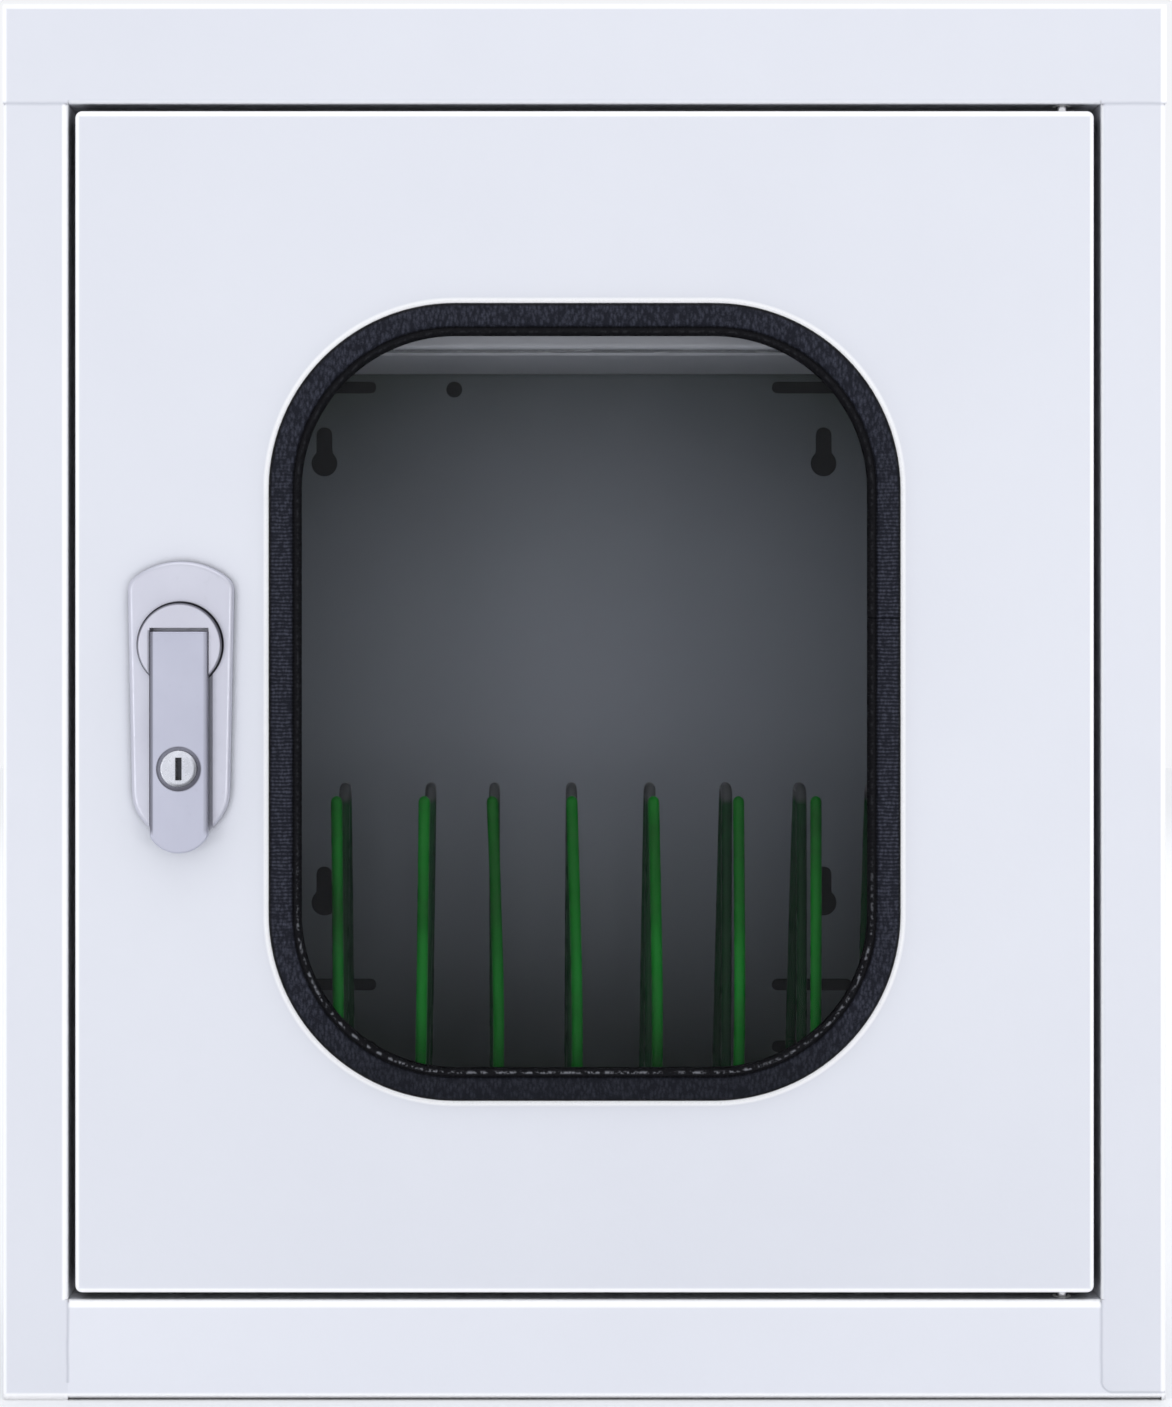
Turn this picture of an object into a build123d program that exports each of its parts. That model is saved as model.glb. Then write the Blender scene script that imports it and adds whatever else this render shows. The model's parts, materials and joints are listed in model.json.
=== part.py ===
"""Wall-hung ultraviolet sterilizer cabinet with a flush, windowed door.

Millimetres. The origin is the centre of the underside, +Z is up, the door faces -Y and
the wall is on +Y. Every separate piece of the cabinet is one STEP file in parts/.
"""

from build123d import *
import math
import os

os.makedirs("parts", exist_ok=True)

# ---------------------------------------------------------------- cabinet
WIDTH = 500.0
HEIGHT = 600.0
DEPTH = 200.0
SHEET = 1.2
BEND = 2.2
STILE = 28.0
RAIL = 43.0
DOOR_GAP = 3.0
RETURN_DEPTH = 25.0
LIP = 16.0
HINGE_LIP = 32.0
STILE_NOTCH = 5.0
RAIL_STRIP = 3.3

FRONT = -DEPTH / 2
BACK = DEPTH / 2
SIDE = WIDTH / 2
OPENING_X = SIDE - STILE
OPENING_TOP = HEIGHT - RAIL
LIP_FRONT = FRONT + RETURN_DEPTH
SKIN_FRONT = FRONT + SHEET
INNER_BACK = BACK - SHEET
INNER_SIDE = SIDE - SHEET
INNER_TOP = HEIGHT - SHEET

# ---------------------------------------------------------------- rear wall
KEYHOLE_X = 250.0
KEYHOLE_Z = 220.0
KEYHOLE_MID = 301.0
KEYHOLE_R = 6.5
KEYHOLE_NECK = 8.0
KEYHOLE_TOP = 18.1
SLOT_LENGTH = 40.0
SLOT_WIDTH = 6.0
SLOT_X = 119.0
SLOT_ROWS = (119.0, 150.0, 449.0, 481.0)
CABLE_HOLE = (-60.0, 448.0, 4.0)

# ---------------------------------------------------------------- door
DOOR_THICK = 16.0
DOOR_CORNER = 3.0
DOOR_FOLD = 1.6
DOOR_RETURN = 12.0
DOOR_HINGE_RETURN = 30.0
DOOR_X = OPENING_X - DOOR_GAP
DOOR_LOW = RAIL + DOOR_GAP
DOOR_TOP = OPENING_TOP - DOOR_GAP
DOOR_BACK = FRONT + DOOR_THICK
DOOR_MID = (DOOR_LOW + DOOR_TOP) / 2
GASKET_WIDTH = 9.0
GASKET_INSET = 1.5
GASKET_CLEAR = 0.3

WINDOW_X = 271.4
WINDOW_Z = 342.7
WINDOW_MID = 300.0
WINDOW_R = 80.0
SEAL_WIDTH = 14.0
SEAL_FRONT = FRONT - 3.4
SEAL_REAR = FRONT + 4.8
SEAL_SKIN_BITE = 7.0
SEAL_GLASS_BITE = 4.5
GLASS_FRONT = FRONT - 1.2
GLASS_THICK = 4.0

# ---------------------------------------------------------------- hinges
HINGE_X = 206.5
HINGE_Y = FRONT + 8.0
PIN_R = 2.5
PIN_RUN = 0.05
PIN_REACH = 7.0
PIN_END_CLEAR = 0.3
BUSH_R = 4.0
BUSH_FLANGE_R = 6.0
BUSH_FLANGE = 1.5
BUSH_LENGTH = 8.0
BLOCK_HEIGHT = 18.0

# ---------------------------------------------------------------- swing-handle lock
LOCK_X = -173.0
ROTOR_Z = 324.6
PLATE_TOP = 360.3
PLATE_LOW = 241.6
PLATE_HALF_TOP = 22.7
PLATE_HALF_LOW = 20.9
PLATE_SHOULDER = 351.0
PLATE_WAIST = 262.0
PLATE_THICK = 6.0
PLATE_FRONT = FRONT - PLATE_THICK
TRAY_DEPTH = 3.0
BOSS_R = 21.0
BOSS_CLEAR = 0.3
BOSS_BACK = FRONT + 14.0
STUD_Z = 254.0
STUD_R = 2.5
STUD_LENGTH = 9.0
LOCK_NUT_HALF = 26.0
LOCK_NUT_THICK = 6.0
STUD_NUT_HALF = 4.0
STUD_NUT_THICK = 4.0

ROTOR_R = 17.9
ROTOR_FRONT = FRONT - 10.6
ROTOR_BACK = FRONT + 3.0
ROTOR_BORE = 18.6
SHAFT_R = 8.0
SHAFT_RUN = 0.05
SQUARE = 10.0
POCKET_HALF = 12.6
POCKET_FLOOR = FRONT - 2.0
POCKET_TOP = 332.0

LEVER_HALF = 12.25
TRAY_CLEAR = (1.0, 1.6)
LEVER_TOP = 330.4
LEVER_LOW = 236.0
LEVER_FRONT = FRONT - 12.4
LEVER_BACK = FRONT - 6.4
LEVER_PIN = (-108.6, 325.0)
LEVER_PIN_R = 1.5
LEVER_PIN_HALF = 16.4

KEY_Z = 272.0
KEY_HEAD_R = 7.85
KEY_SHANK_R = 6.0
KEY_RECESS_R = 9.5
KEY_RECESS = 1.4
KEY_CLEAR = 0.3
KEY_SLOT_HALF_X = 1.3
KEY_SLOT_HALF_Z = 4.8
KEY_SLOT_DEPTH = 3.0

CAM_FRONT = LIP_FRONT + SHEET + 0.5
CAM_THICK = 3.0
CAM_REACH = 43.0
CAM_HALF = 8.0
CAM_HUB_R = 11.0
CAM_BACK = CAM_FRONT + CAM_THICK
CAM_WASHER = 1.6
CAM_WASHER_R = 9.0
CAM_SCREW_R = 3.0
CAM_SCREW_HEAD_R = 5.0
CAM_SCREW_HEAD = 4.0
CAM_SCREW_BITE = 12.0
CAM_SCREW_KEY = 2.5

# ---------------------------------------------------------------- lamp compartment
FASCIA = FRONT + 45.0
FLOOR_Z = 455.5
FLOOR_TOP = FLOOR_Z + SHEET
HOUSING_FLANGE = 20.0
LAMP_Y = -34.0
LAMP_Z = 474.0
LAMP_R = 13.0
LAMP_WALL = 1.0
LAMP_HALF = 218.7
LAMP_CAP = 6.7
LAMP_PIN_R = 1.175
LAMP_PIN_HALF = 6.35
LAMP_PIN_LENGTH = 7.0
LAMP_SLOT_HALF = 214.0
LAMP_SLOT = (-50.0, -18.0)
REFLECTOR_SHEET = 0.8
HOLDER_LENGTH = 17.0
HOLDER_TOP = 496.0
HOLDER_FILLET = 5.0

BRACKET_SHEET = 1.5
BRACKET_LEG = 16.0
BRACKET_Z = (500.0, 560.0)
BRACKET_SCREW_X = 240.0
BRACKET_SCREWS_Z = (515.0, 545.0)
BALLAST_X = (-110.0, 45.0)
BALLAST_Y = (45.0, 85.0)
BALLAST_HEIGHT = 28.0
BALLAST_TAB = 12.0
BALLAST_TAB_THICK = 1.5
STARTER = (85.0, 65.0)
STARTER_R = 10.75
STARTER_BASE = 12.0
STARTER_SOCKET_DEPTH = 7.0
STARTER_LENGTH = 38.0
STARTER_SOCKET_R = STARTER_R + 3.5
STARTER_EARS = (40.0, 12.0)
TERMINALS_X = (170.0, 206.0)
TERMINALS_Y = (56.0, 74.0)
TERMINAL_TOP = FLOOR_TOP + 16.0
TERMINAL_PITCH = 11.0
TERMINAL_WELL_R = 2.5
SCREW_R = 2.0
SCREW_HEAD_R = 4.0
SCREW_HEAD = 2.6
WIRE_R = 1.2
WIRE_BEND_SHARE = 0.45

SERVICE_Z = 540.0
BEZEL = 2.0
INLET_Y = 62.0
INLET_HALF_Y = 13.6
INLET_HALF_Z = 9.9
INLET_DEPTH = 22.0
INLET_CAVITY = 17.0
INLET_WALL = 1.6
INLET_FLANGE_Y = 26.0
INLET_FLANGE_Z = 13.0
INLET_SCREW_SHIFT = 20.0
INLET_SCREW_R = 1.5
INLET_SCREW_HEAD_R = 2.7
CONTACTS = ((-7.0, -2.0), (0.0, 2.5), (7.0, -2.0))
CONTACT_LENGTH = 11.0
SWITCH_Y = 10.0
SWITCH_HALF_Y = 10.5
SWITCH_HALF_Z = 6.5
SWITCH_DEPTH = 20.0
SWITCH_WELL = 14.0
ROCKER_HALF_Y = 8.5
ROCKER_HALF_Z = 4.4
ROCKER_CLEAR = 0.3
ROCKER_TILT = 7.0
ROCKER_CREST = 5.2
ROCKER_DISH = 0.9
ROCKER_HEEL = (-4.5, 4.0)
ROCKER_PIN_R = 1.5
ROCKER_PIN_END = 1.2

SENSOR_X = -100.0
SENSOR_Z = 515.0
SENSOR_HALF_X = 14.0
SENSOR_HALF_Z = 6.0
SENSOR_DEPTH = 13.0
SENSOR_FILLET = 1.5

# ---------------------------------------------------------------- tool rack
RACK_MID = -3.8
RACK_PITCH = 35.0
RACK_COUNT = 9
RACK_WIRE = 2.5
RACK_ROD = 3.0
RACK_TOP = 257.0
RACK_FRONT_Y = -67.0
ARCH_LEG_FRONT = -22.0
ARCH_LEG_REAR = 62.0
ARCH_CROWN_Y = 12.0
ARCH_CROWN_R = 9.0
RAIL_OVERHANG = 8.0
RUNNER_OVERHANG = 4.0


def write_part(builder, label):
    """Name a finished piece and write it as its own STEP file."""
    builder.part.label = label
    export_step(builder.part, f"parts/{label}.step")


def block(x, y, z, mode=Mode.ADD):
    """Box between two limits on each axis, in the active part."""
    with Locations(((x[0] + x[1]) / 2, (y[0] + y[1]) / 2, (z[0] + z[1]) / 2)):
        Box(x[1] - x[0], y[1] - y[0], z[1] - z[0], mode=mode)


def rod(start, end, radius, mode=Mode.ADD):
    """Round bar between two points, in the active part."""
    run = Vector(*end) - Vector(*start)
    middle = Vector(*start) + run * 0.5
    with Locations(Plane(origin=middle, z_dir=run).location):
        Cylinder(radius, run.length, mode=mode)


def front_plate(depth):
    """Plane parallel to the door whose sketch X is +X, sketch Y is +Z, at this depth."""
    return Plane(origin=(0, depth, 0), x_dir=(1, 0, 0), z_dir=(0, -1, 0))


def pan_screw(seat, direction, length):
    """Pan-head screw seated at a point, its shank running along a direction."""
    along = Vector(*direction)
    point = Vector(*seat)
    head = point - along * SCREW_HEAD
    tip = point + along * length
    rod(tuple(head), tuple(point), SCREW_HEAD_R)
    rod(tuple(head), tuple(tip), SCREW_R)


# ---------------------------------------------------------------- side panels
def side_panel(hand, lip):
    """Wall, front stile, return and lip folded from one sheet; hand is -1 left, +1 right."""
    wall = hand * SIDE
    edge = hand * OPENING_X
    folds = [
        (wall, INNER_BACK),
        (wall, FRONT),
        (edge, FRONT),
        (edge, LIP_FRONT),
        (edge - hand * lip, LIP_FRONT),
    ]
    inside = Side.LEFT if hand < 0 else Side.RIGHT
    with BuildPart() as panel:
        with BuildSketch(Plane.XY.offset(RAIL)):
            with BuildLine():
                FilletPolyline(*folds, radius=BEND)
                offset(amount=SHEET, side=inside)
            make_face()
        extrude(amount=OPENING_TOP - RAIL)
        with BuildSketch(Plane.XY):
            with BuildLine():
                FilletPolyline(*folds[:3], radius=BEND)
                offset(amount=SHEET, side=inside)
            make_face()
        extrude(amount=RAIL)
        wall_x = sorted((wall, wall - hand * SHEET))
        block(wall_x, (SKIN_FRONT + SHEET, INNER_BACK), (OPENING_TOP, INNER_TOP))
        if hand > 0:
            strip_x = (edge - SHEET, SIDE - BEND)
            strip_y = (FRONT - SHEET, SKIN_FRONT + SHEET)
            block(strip_x, strip_y, (-SHEET, RAIL_STRIP), mode=Mode.SUBTRACT)
            corners = panel.edges().filter_by(Axis.Y)
            corners = corners.filter_by_position(Axis.Z, RAIL_STRIP - 0.1, RAIL_STRIP + 0.1)
            fillet(corners.sort_by(Axis.X)[0], STILE_NOTCH)
    return panel


left_side_panel = side_panel(-1, LIP)
write_part(left_side_panel, "left_side_panel")

with BuildPart() as right_side_panel:
    add(side_panel(1, HINGE_LIP).part)
    through = (INNER_SIDE - SHEET, SIDE + SHEET)
    inlet_y = (INLET_Y - INLET_HALF_Y, INLET_Y + INLET_HALF_Y)
    inlet_z = (SERVICE_Z - INLET_HALF_Z, SERVICE_Z + INLET_HALF_Z)
    block(through, inlet_y, inlet_z, mode=Mode.SUBTRACT)
    switch_y = (SWITCH_Y - SWITCH_HALF_Y, SWITCH_Y + SWITCH_HALF_Y)
    switch_z = (SERVICE_Z - SWITCH_HALF_Z, SERVICE_Z + SWITCH_HALF_Z)
    block(through, switch_y, switch_z, mode=Mode.SUBTRACT)
    for side in (-1, 1):
        screw_y = INLET_Y + side * INLET_SCREW_SHIFT
        with Locations(Plane(origin=(SIDE, screw_y, SERVICE_Z), z_dir=(1, 0, 0)).location):
            CounterSinkHole(
                radius=INLET_SCREW_R,
                counter_sink_radius=INLET_SCREW_HEAD_R,
                depth=SHEET,
                counter_sink_angle=90,
            )
write_part(right_side_panel, "right_side_panel")

# ---------------------------------------------------------------- top and bottom panels
with BuildPart() as top_panel:
    with BuildSketch(Plane.YZ.offset(-OPENING_X)):
        with BuildLine():
            FilletPolyline(
                (INNER_BACK, HEIGHT),
                (FRONT, HEIGHT),
                (FRONT, OPENING_TOP),
                (LIP_FRONT, OPENING_TOP),
                (LIP_FRONT, OPENING_TOP - LIP),
                radius=BEND,
            )
            offset(amount=SHEET, side=Side.LEFT)
        make_face()
    extrude(amount=2 * OPENING_X)
    for hand in (-1, 1):
        with BuildSketch(Plane.YZ.offset(hand * OPENING_X)):
            with BuildLine():
                FilletPolyline(
                    (INNER_BACK, HEIGHT),
                    (FRONT, HEIGHT),
                    (FRONT, OPENING_TOP),
                    radius=BEND,
                )
                offset(amount=SHEET, side=Side.LEFT)
            make_face()
        extrude(amount=hand * STILE)
        side_lip = HINGE_LIP if hand > 0 else LIP
        lip_x = sorted((hand * OPENING_X, hand * (OPENING_X - side_lip)))
        lip_z = (OPENING_TOP - LIP, OPENING_TOP)
        block(lip_x, (LIP_FRONT - BEND, LIP_FRONT + BEND), lip_z, mode=Mode.SUBTRACT)
    hole_low = (HINGE_X, HINGE_Y, OPENING_TOP - SHEET)
    hole_high = (HINGE_X, HINGE_Y, OPENING_TOP + 2 * SHEET)
    rod(hole_low, hole_high, BUSH_R, mode=Mode.SUBTRACT)
write_part(top_panel, "top_panel")

with BuildPart() as bottom_panel:
    with BuildSketch(Plane.YZ.offset(-OPENING_X)):
        with BuildLine():
            FilletPolyline(
                (INNER_BACK, 0),
                (FRONT, 0),
                (FRONT, RAIL),
                (LIP_FRONT, RAIL),
                (LIP_FRONT, RAIL + LIP),
                radius=BEND,
            )
            offset(amount=SHEET, side=Side.RIGHT)
        make_face()
    extrude(amount=2 * OPENING_X)
    for hand in (-1, 1):
        wing = sorted((hand * OPENING_X, hand * INNER_SIDE))
        block(wing, (SKIN_FRONT + SHEET, INNER_BACK), (0, SHEET))
        side_lip = HINGE_LIP if hand > 0 else LIP
        lip_x = sorted((hand * OPENING_X, hand * (OPENING_X - side_lip)))
        lip_z = (RAIL, RAIL + LIP)
        block(lip_x, (LIP_FRONT - BEND, LIP_FRONT + BEND), lip_z, mode=Mode.SUBTRACT)
    with BuildSketch(Plane.YZ.offset(OPENING_X)):
        with BuildLine():
            FilletPolyline((INNER_BACK, 0), (FRONT, 0), (FRONT, RAIL_STRIP), radius=BEND)
            offset(amount=SHEET, side=Side.RIGHT)
        make_face()
    extrude(amount=STILE - BEND)
    with BuildSketch(front_plate(FRONT)):
        with Locations((OPENING_X + STILE_NOTCH / 2, RAIL_STRIP + STILE_NOTCH / 2)):
            Rectangle(STILE_NOTCH, STILE_NOTCH)
        with Locations((OPENING_X + STILE_NOTCH, RAIL_STRIP + STILE_NOTCH)):
            Circle(STILE_NOTCH, mode=Mode.SUBTRACT)
    extrude(amount=-SHEET)
    hole_low = (HINGE_X, HINGE_Y, RAIL - 2 * SHEET)
    hole_high = (HINGE_X, HINGE_Y, RAIL + SHEET)
    rod(hole_low, hole_high, BUSH_R, mode=Mode.SUBTRACT)
write_part(bottom_panel, "bottom_panel")

# ---------------------------------------------------------------- rear panel
with BuildPart() as rear_panel:
    block((-SIDE, SIDE), (INNER_BACK, BACK), (0, HEIGHT))
    with BuildSketch(front_plate(BACK)):
        with Locations((0, KEYHOLE_MID)):
            with GridLocations(KEYHOLE_X, KEYHOLE_Z, 2, 2):
                Circle(KEYHOLE_R)
        with Locations((0, KEYHOLE_MID + (KEYHOLE_TOP - KEYHOLE_NECK / 2) / 2)):
            with GridLocations(KEYHOLE_X, KEYHOLE_Z, 2, 2):
                SlotOverall(KEYHOLE_TOP + KEYHOLE_NECK / 2, KEYHOLE_NECK, rotation=90)
        for row in SLOT_ROWS:
            with Locations((-SLOT_X, row), (SLOT_X, row)):
                SlotOverall(SLOT_LENGTH, SLOT_WIDTH)
        with Locations(CABLE_HOLE[:2]):
            Circle(CABLE_HOLE[2])
    extrude(amount=2 * SHEET, mode=Mode.SUBTRACT)
write_part(rear_panel, "rear_panel")

# ---------------------------------------------------------------- lamp housing
with BuildPart() as lamp_housing:
    with BuildSketch(Plane.YZ.offset(-INNER_SIDE)):
        with BuildLine():
            FilletPolyline(
                (FASCIA + HOUSING_FLANGE, INNER_TOP),
                (FASCIA, INNER_TOP),
                (FASCIA, FLOOR_Z),
                (INNER_BACK, FLOOR_Z),
                (INNER_BACK, FLOOR_Z + HOUSING_FLANGE),
                radius=BEND,
            )
            offset(amount=SHEET, side=Side.LEFT)
        make_face()
    extrude(amount=2 * INNER_SIDE)
    slot_z = (FLOOR_Z - SHEET, FLOOR_TOP + SHEET)
    block((-LAMP_SLOT_HALF, LAMP_SLOT_HALF), LAMP_SLOT, slot_z, mode=Mode.SUBTRACT)
    fascia_holes = [(SENSOR_X, SENSOR_Z, 2 * WIRE_R)]
    for hand in (-1, 1):
        for height in BRACKET_SCREWS_Z:
            fascia_holes.append((hand * BRACKET_SCREW_X, height, SCREW_R))
    for hole_x, hole_z, hole_r in fascia_holes:
        hole_front = (hole_x, FASCIA - SHEET, hole_z)
        hole_back = (hole_x, FASCIA + 2 * SHEET, hole_z)
        rod(hole_front, hole_back, hole_r, mode=Mode.SUBTRACT)
write_part(lamp_housing, "lamp_housing")

with BuildPart() as housing_brackets:
    for hand in (-1, 1):
        leg = sorted((hand * INNER_SIDE, hand * (INNER_SIDE - BRACKET_SHEET)))
        foot = sorted((hand * INNER_SIDE, hand * (INNER_SIDE - BRACKET_LEG)))
        skin = FASCIA + SHEET
        block(leg, (skin, skin + BRACKET_LEG), BRACKET_Z)
        block(foot, (skin, skin + BRACKET_SHEET), BRACKET_Z)
        for height in BRACKET_SCREWS_Z:
            hole_front = (hand * BRACKET_SCREW_X, skin - BRACKET_SHEET, height)
            hole_back = (hand * BRACKET_SCREW_X, skin + 2 * BRACKET_SHEET, height)
            rod(hole_front, hole_back, SCREW_R, mode=Mode.SUBTRACT)
write_part(housing_brackets, "housing_brackets")

with BuildPart() as housing_screws:
    for hand in (-1, 1):
        for height in BRACKET_SCREWS_Z:
            pan_screw((hand * BRACKET_SCREW_X, FASCIA, height), (0, 1, 0), 4 * BRACKET_SHEET)
write_part(housing_screws, "housing_screws")

# ---------------------------------------------------------------- ultraviolet lamp
with BuildPart() as lamp_reflector:
    with BuildSketch(Plane.YZ.offset(-LAMP_SLOT_HALF)):
        with BuildLine():
            Polyline(
                (LAMP_Y - 18.0, FLOOR_TOP),
                (LAMP_Y - 18.0, LAMP_Z + 6.0),
                (LAMP_Y - 10.0, LAMP_Z + 20.0),
                (LAMP_Y + 10.0, LAMP_Z + 20.0),
                (LAMP_Y + 18.0, LAMP_Z + 6.0),
                (LAMP_Y + 18.0, FLOOR_TOP),
            )
            offset(amount=REFLECTOR_SHEET, side=Side.RIGHT)
        make_face()
    extrude(amount=2 * LAMP_SLOT_HALF)
write_part(lamp_reflector, "lamp_reflector")

LAMP_TUBE_HALF = LAMP_HALF - LAMP_CAP
with BuildPart() as lamp_tube:
    tube_left = (-LAMP_TUBE_HALF, LAMP_Y, LAMP_Z)
    tube_right = (LAMP_TUBE_HALF, LAMP_Y, LAMP_Z)
    rod(tube_left, tube_right, LAMP_R)
    rod(tube_left, tube_right, LAMP_R - LAMP_WALL, mode=Mode.SUBTRACT)
write_part(lamp_tube, "lamp_tube")


def lamp_pins(mode=Mode.ADD):
    """The two contact pins at each end of the lamp, in the active part."""
    for hand in (-1, 1):
        for side in (-1, 1):
            pin_z = LAMP_Z + side * LAMP_PIN_HALF
            pin_root = (hand * LAMP_HALF, LAMP_Y, pin_z)
            pin_tip = (hand * (LAMP_HALF + LAMP_PIN_LENGTH), LAMP_Y, pin_z)
            rod(pin_root, pin_tip, LAMP_PIN_R, mode=mode)


with BuildPart() as lamp_caps:
    for hand in (-1, 1):
        rod((hand * LAMP_TUBE_HALF, LAMP_Y, LAMP_Z), (hand * LAMP_HALF, LAMP_Y, LAMP_Z), LAMP_R)
    lamp_pins()
write_part(lamp_caps, "lamp_caps")

with BuildPart() as lamp_holders:
    for hand in (-1, 1):
        ends = sorted((hand * LAMP_HALF, hand * (LAMP_HALF + HOLDER_LENGTH)))
        block(ends, (LAMP_Y - LAMP_R, LAMP_Y + LAMP_R), (FLOOR_TOP, HOLDER_TOP))
    fillet(lamp_holders.edges().filter_by(Axis.X).group_by(Axis.Z)[-1], HOLDER_FILLET)
    lamp_pins(mode=Mode.SUBTRACT)
write_part(lamp_holders, "lamp_holders")

# ---------------------------------------------------------------- control gear
BALLAST_MID_Y = (BALLAST_Y[0] + BALLAST_Y[1]) / 2
tab_top = FLOOR_TOP + BALLAST_TAB_THICK
tab_screws = [
    (BALLAST_X[0] - BALLAST_TAB / 2, BALLAST_MID_Y, tab_top),
    (BALLAST_X[1] + BALLAST_TAB / 2, BALLAST_MID_Y, tab_top),
]
with BuildPart() as ballast:
    block(BALLAST_X, BALLAST_Y, (FLOOR_TOP, FLOOR_TOP + BALLAST_HEIGHT))
    fillet(ballast.edges().filter_by(Axis.X).group_by(Axis.Z)[-1], 2 * BALLAST_TAB_THICK)
    block((BALLAST_X[0] - BALLAST_TAB, BALLAST_X[1] + BALLAST_TAB), BALLAST_Y, (FLOOR_TOP, tab_top))
    with Locations(*tab_screws):
        Hole(radius=SCREW_R, depth=2 * BALLAST_TAB_THICK)
write_part(ballast, "ballast")

with BuildPart() as ballast_screws:
    for seat in tab_screws:
        pan_screw(seat, (0, 0, -1), BALLAST_TAB_THICK)
write_part(ballast_screws, "ballast_screws")

socket_top = FLOOR_TOP + STARTER_BASE
socket_floor = socket_top - STARTER_SOCKET_DEPTH
with BuildPart() as starter_socket:
    with BuildSketch(Plane.XY.offset(FLOOR_TOP)):
        with Locations(STARTER):
            Circle(STARTER_SOCKET_R)
            Rectangle(*STARTER_EARS)
    extrude(amount=STARTER_BASE)
    rod((*STARTER, socket_floor), (*STARTER, socket_top), STARTER_R, mode=Mode.SUBTRACT)
write_part(starter_socket, "starter_socket")

with BuildPart() as starter:
    rod((*STARTER, socket_floor), (*STARTER, socket_floor + STARTER_LENGTH), STARTER_R)
    fillet(starter.edges().filter_by(GeomType.CIRCLE).group_by(Axis.Z)[-1], 2.0)
write_part(starter, "starter")

TERMINAL_MID = ((TERMINALS_X[0] + TERMINALS_X[1]) / 2, (TERMINALS_Y[0] + TERMINALS_Y[1]) / 2)
with BuildPart() as terminal_block:
    block(TERMINALS_X, TERMINALS_Y, (FLOOR_TOP, TERMINAL_TOP))
    chamfer(terminal_block.edges().filter_by(Axis.X).group_by(Axis.Z)[-1], 3.0)
    with Locations((*TERMINAL_MID, TERMINAL_TOP)):
        with GridLocations(TERMINAL_PITCH, 0, 3, 1):
            Hole(radius=TERMINAL_WELL_R, depth=2 * TERMINAL_WELL_R)
write_part(terminal_block, "terminal_block")


def wire(*stations):
    """Insulated wire through the stations, with the largest bends the shorter run allows."""
    points = [Vector(*station) for station in stations]
    radii = []
    for before, at, after in zip(points, points[1:], points[2:]):
        turn = math.radians((at - before).get_angle(after - at))
        shorter = min((at - before).length, (after - at).length)
        radii.append(WIRE_BEND_SHARE * shorter / math.tan(turn / 2))
    with BuildLine() as path:
        FilletPolyline(*points, radius=radii)
    start = path.line @ 0
    with BuildSketch(Plane(origin=start, z_dir=path.line % 0)) as section:
        Circle(WIRE_R)
    sweep(section.sketch, path=path.line)


inlet_back = SIDE - BEZEL - INLET_DEPTH
switch_back = SIDE - BEZEL - SWITCH_DEPTH
holder_face = LAMP_Y + LAMP_R
with BuildPart() as wiring:
    for tag in (-1, 1):
        inlet_run = (INLET_Y + 4.0 * tag, SERVICE_Z + 4.0 * tag)
        drop = (188.0 + 9.0 * tag, 65.0 + 4.0 * tag)
        wire(
            (inlet_back, *inlet_run),
            (200.0 + 4.0 * tag, *inlet_run),
            (*drop, 505.0),
            (*drop, TERMINAL_TOP),
        )
        switch_run = (SWITCH_Y + 3.0 * tag, SERVICE_Z)
        landing = (62.0 + 4.0 * tag, FLOOR_TOP + 6.0)
        wire(
            (switch_back, *switch_run),
            (215.0 + 4.0 * tag, *switch_run),
            (222.0 + 4.0 * tag, 40.0 + 4.0 * tag, 500.0),
            (226.0, *landing),
            (TERMINALS_X[1], *landing),
        )
    ballast_wire_z = FLOOR_TOP + 8.0
    wire(
        (TERMINALS_X[0], 60.0, ballast_wire_z),
        (140.0, 60.0, ballast_wire_z),
        (115.0, 40.0, ballast_wire_z),
        (75.0, 36.0, ballast_wire_z),
        (62.0, 55.0, ballast_wire_z),
        (BALLAST_X[1], 55.0, ballast_wire_z),
    )
    left_wire_z = FLOOR_TOP + 10.0
    wire(
        (BALLAST_X[0], 58.0, left_wire_z),
        (-150.0, 58.0, left_wire_z),
        (-215.0, 40.0, left_wire_z),
        (-228.0, 10.0, left_wire_z),
        (-228.0, holder_face, left_wire_z),
    )
    right_wire_z = FLOOR_TOP + 5.0
    wire(
        (STARTER[0], STARTER[1] - STARTER_SOCKET_R, right_wire_z),
        (STARTER[0], 30.0, right_wire_z),
        (150.0, 12.0, right_wire_z),
        (229.0, 12.0, right_wire_z),
        (229.0, holder_face, right_wire_z),
    )
write_part(wiring, "wiring")

sensor_x = (SENSOR_X - SENSOR_HALF_X, SENSOR_X + SENSOR_HALF_X)
sensor_z = (SENSOR_Z - SENSOR_HALF_Z, SENSOR_Z + SENSOR_HALF_Z)
with BuildPart() as door_sensor:
    block(sensor_x, (FASCIA - SENSOR_DEPTH, FASCIA), sensor_z)
    fillet(door_sensor.edges().filter_by(Axis.Y), SENSOR_FILLET)
write_part(door_sensor, "door_sensor")

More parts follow.
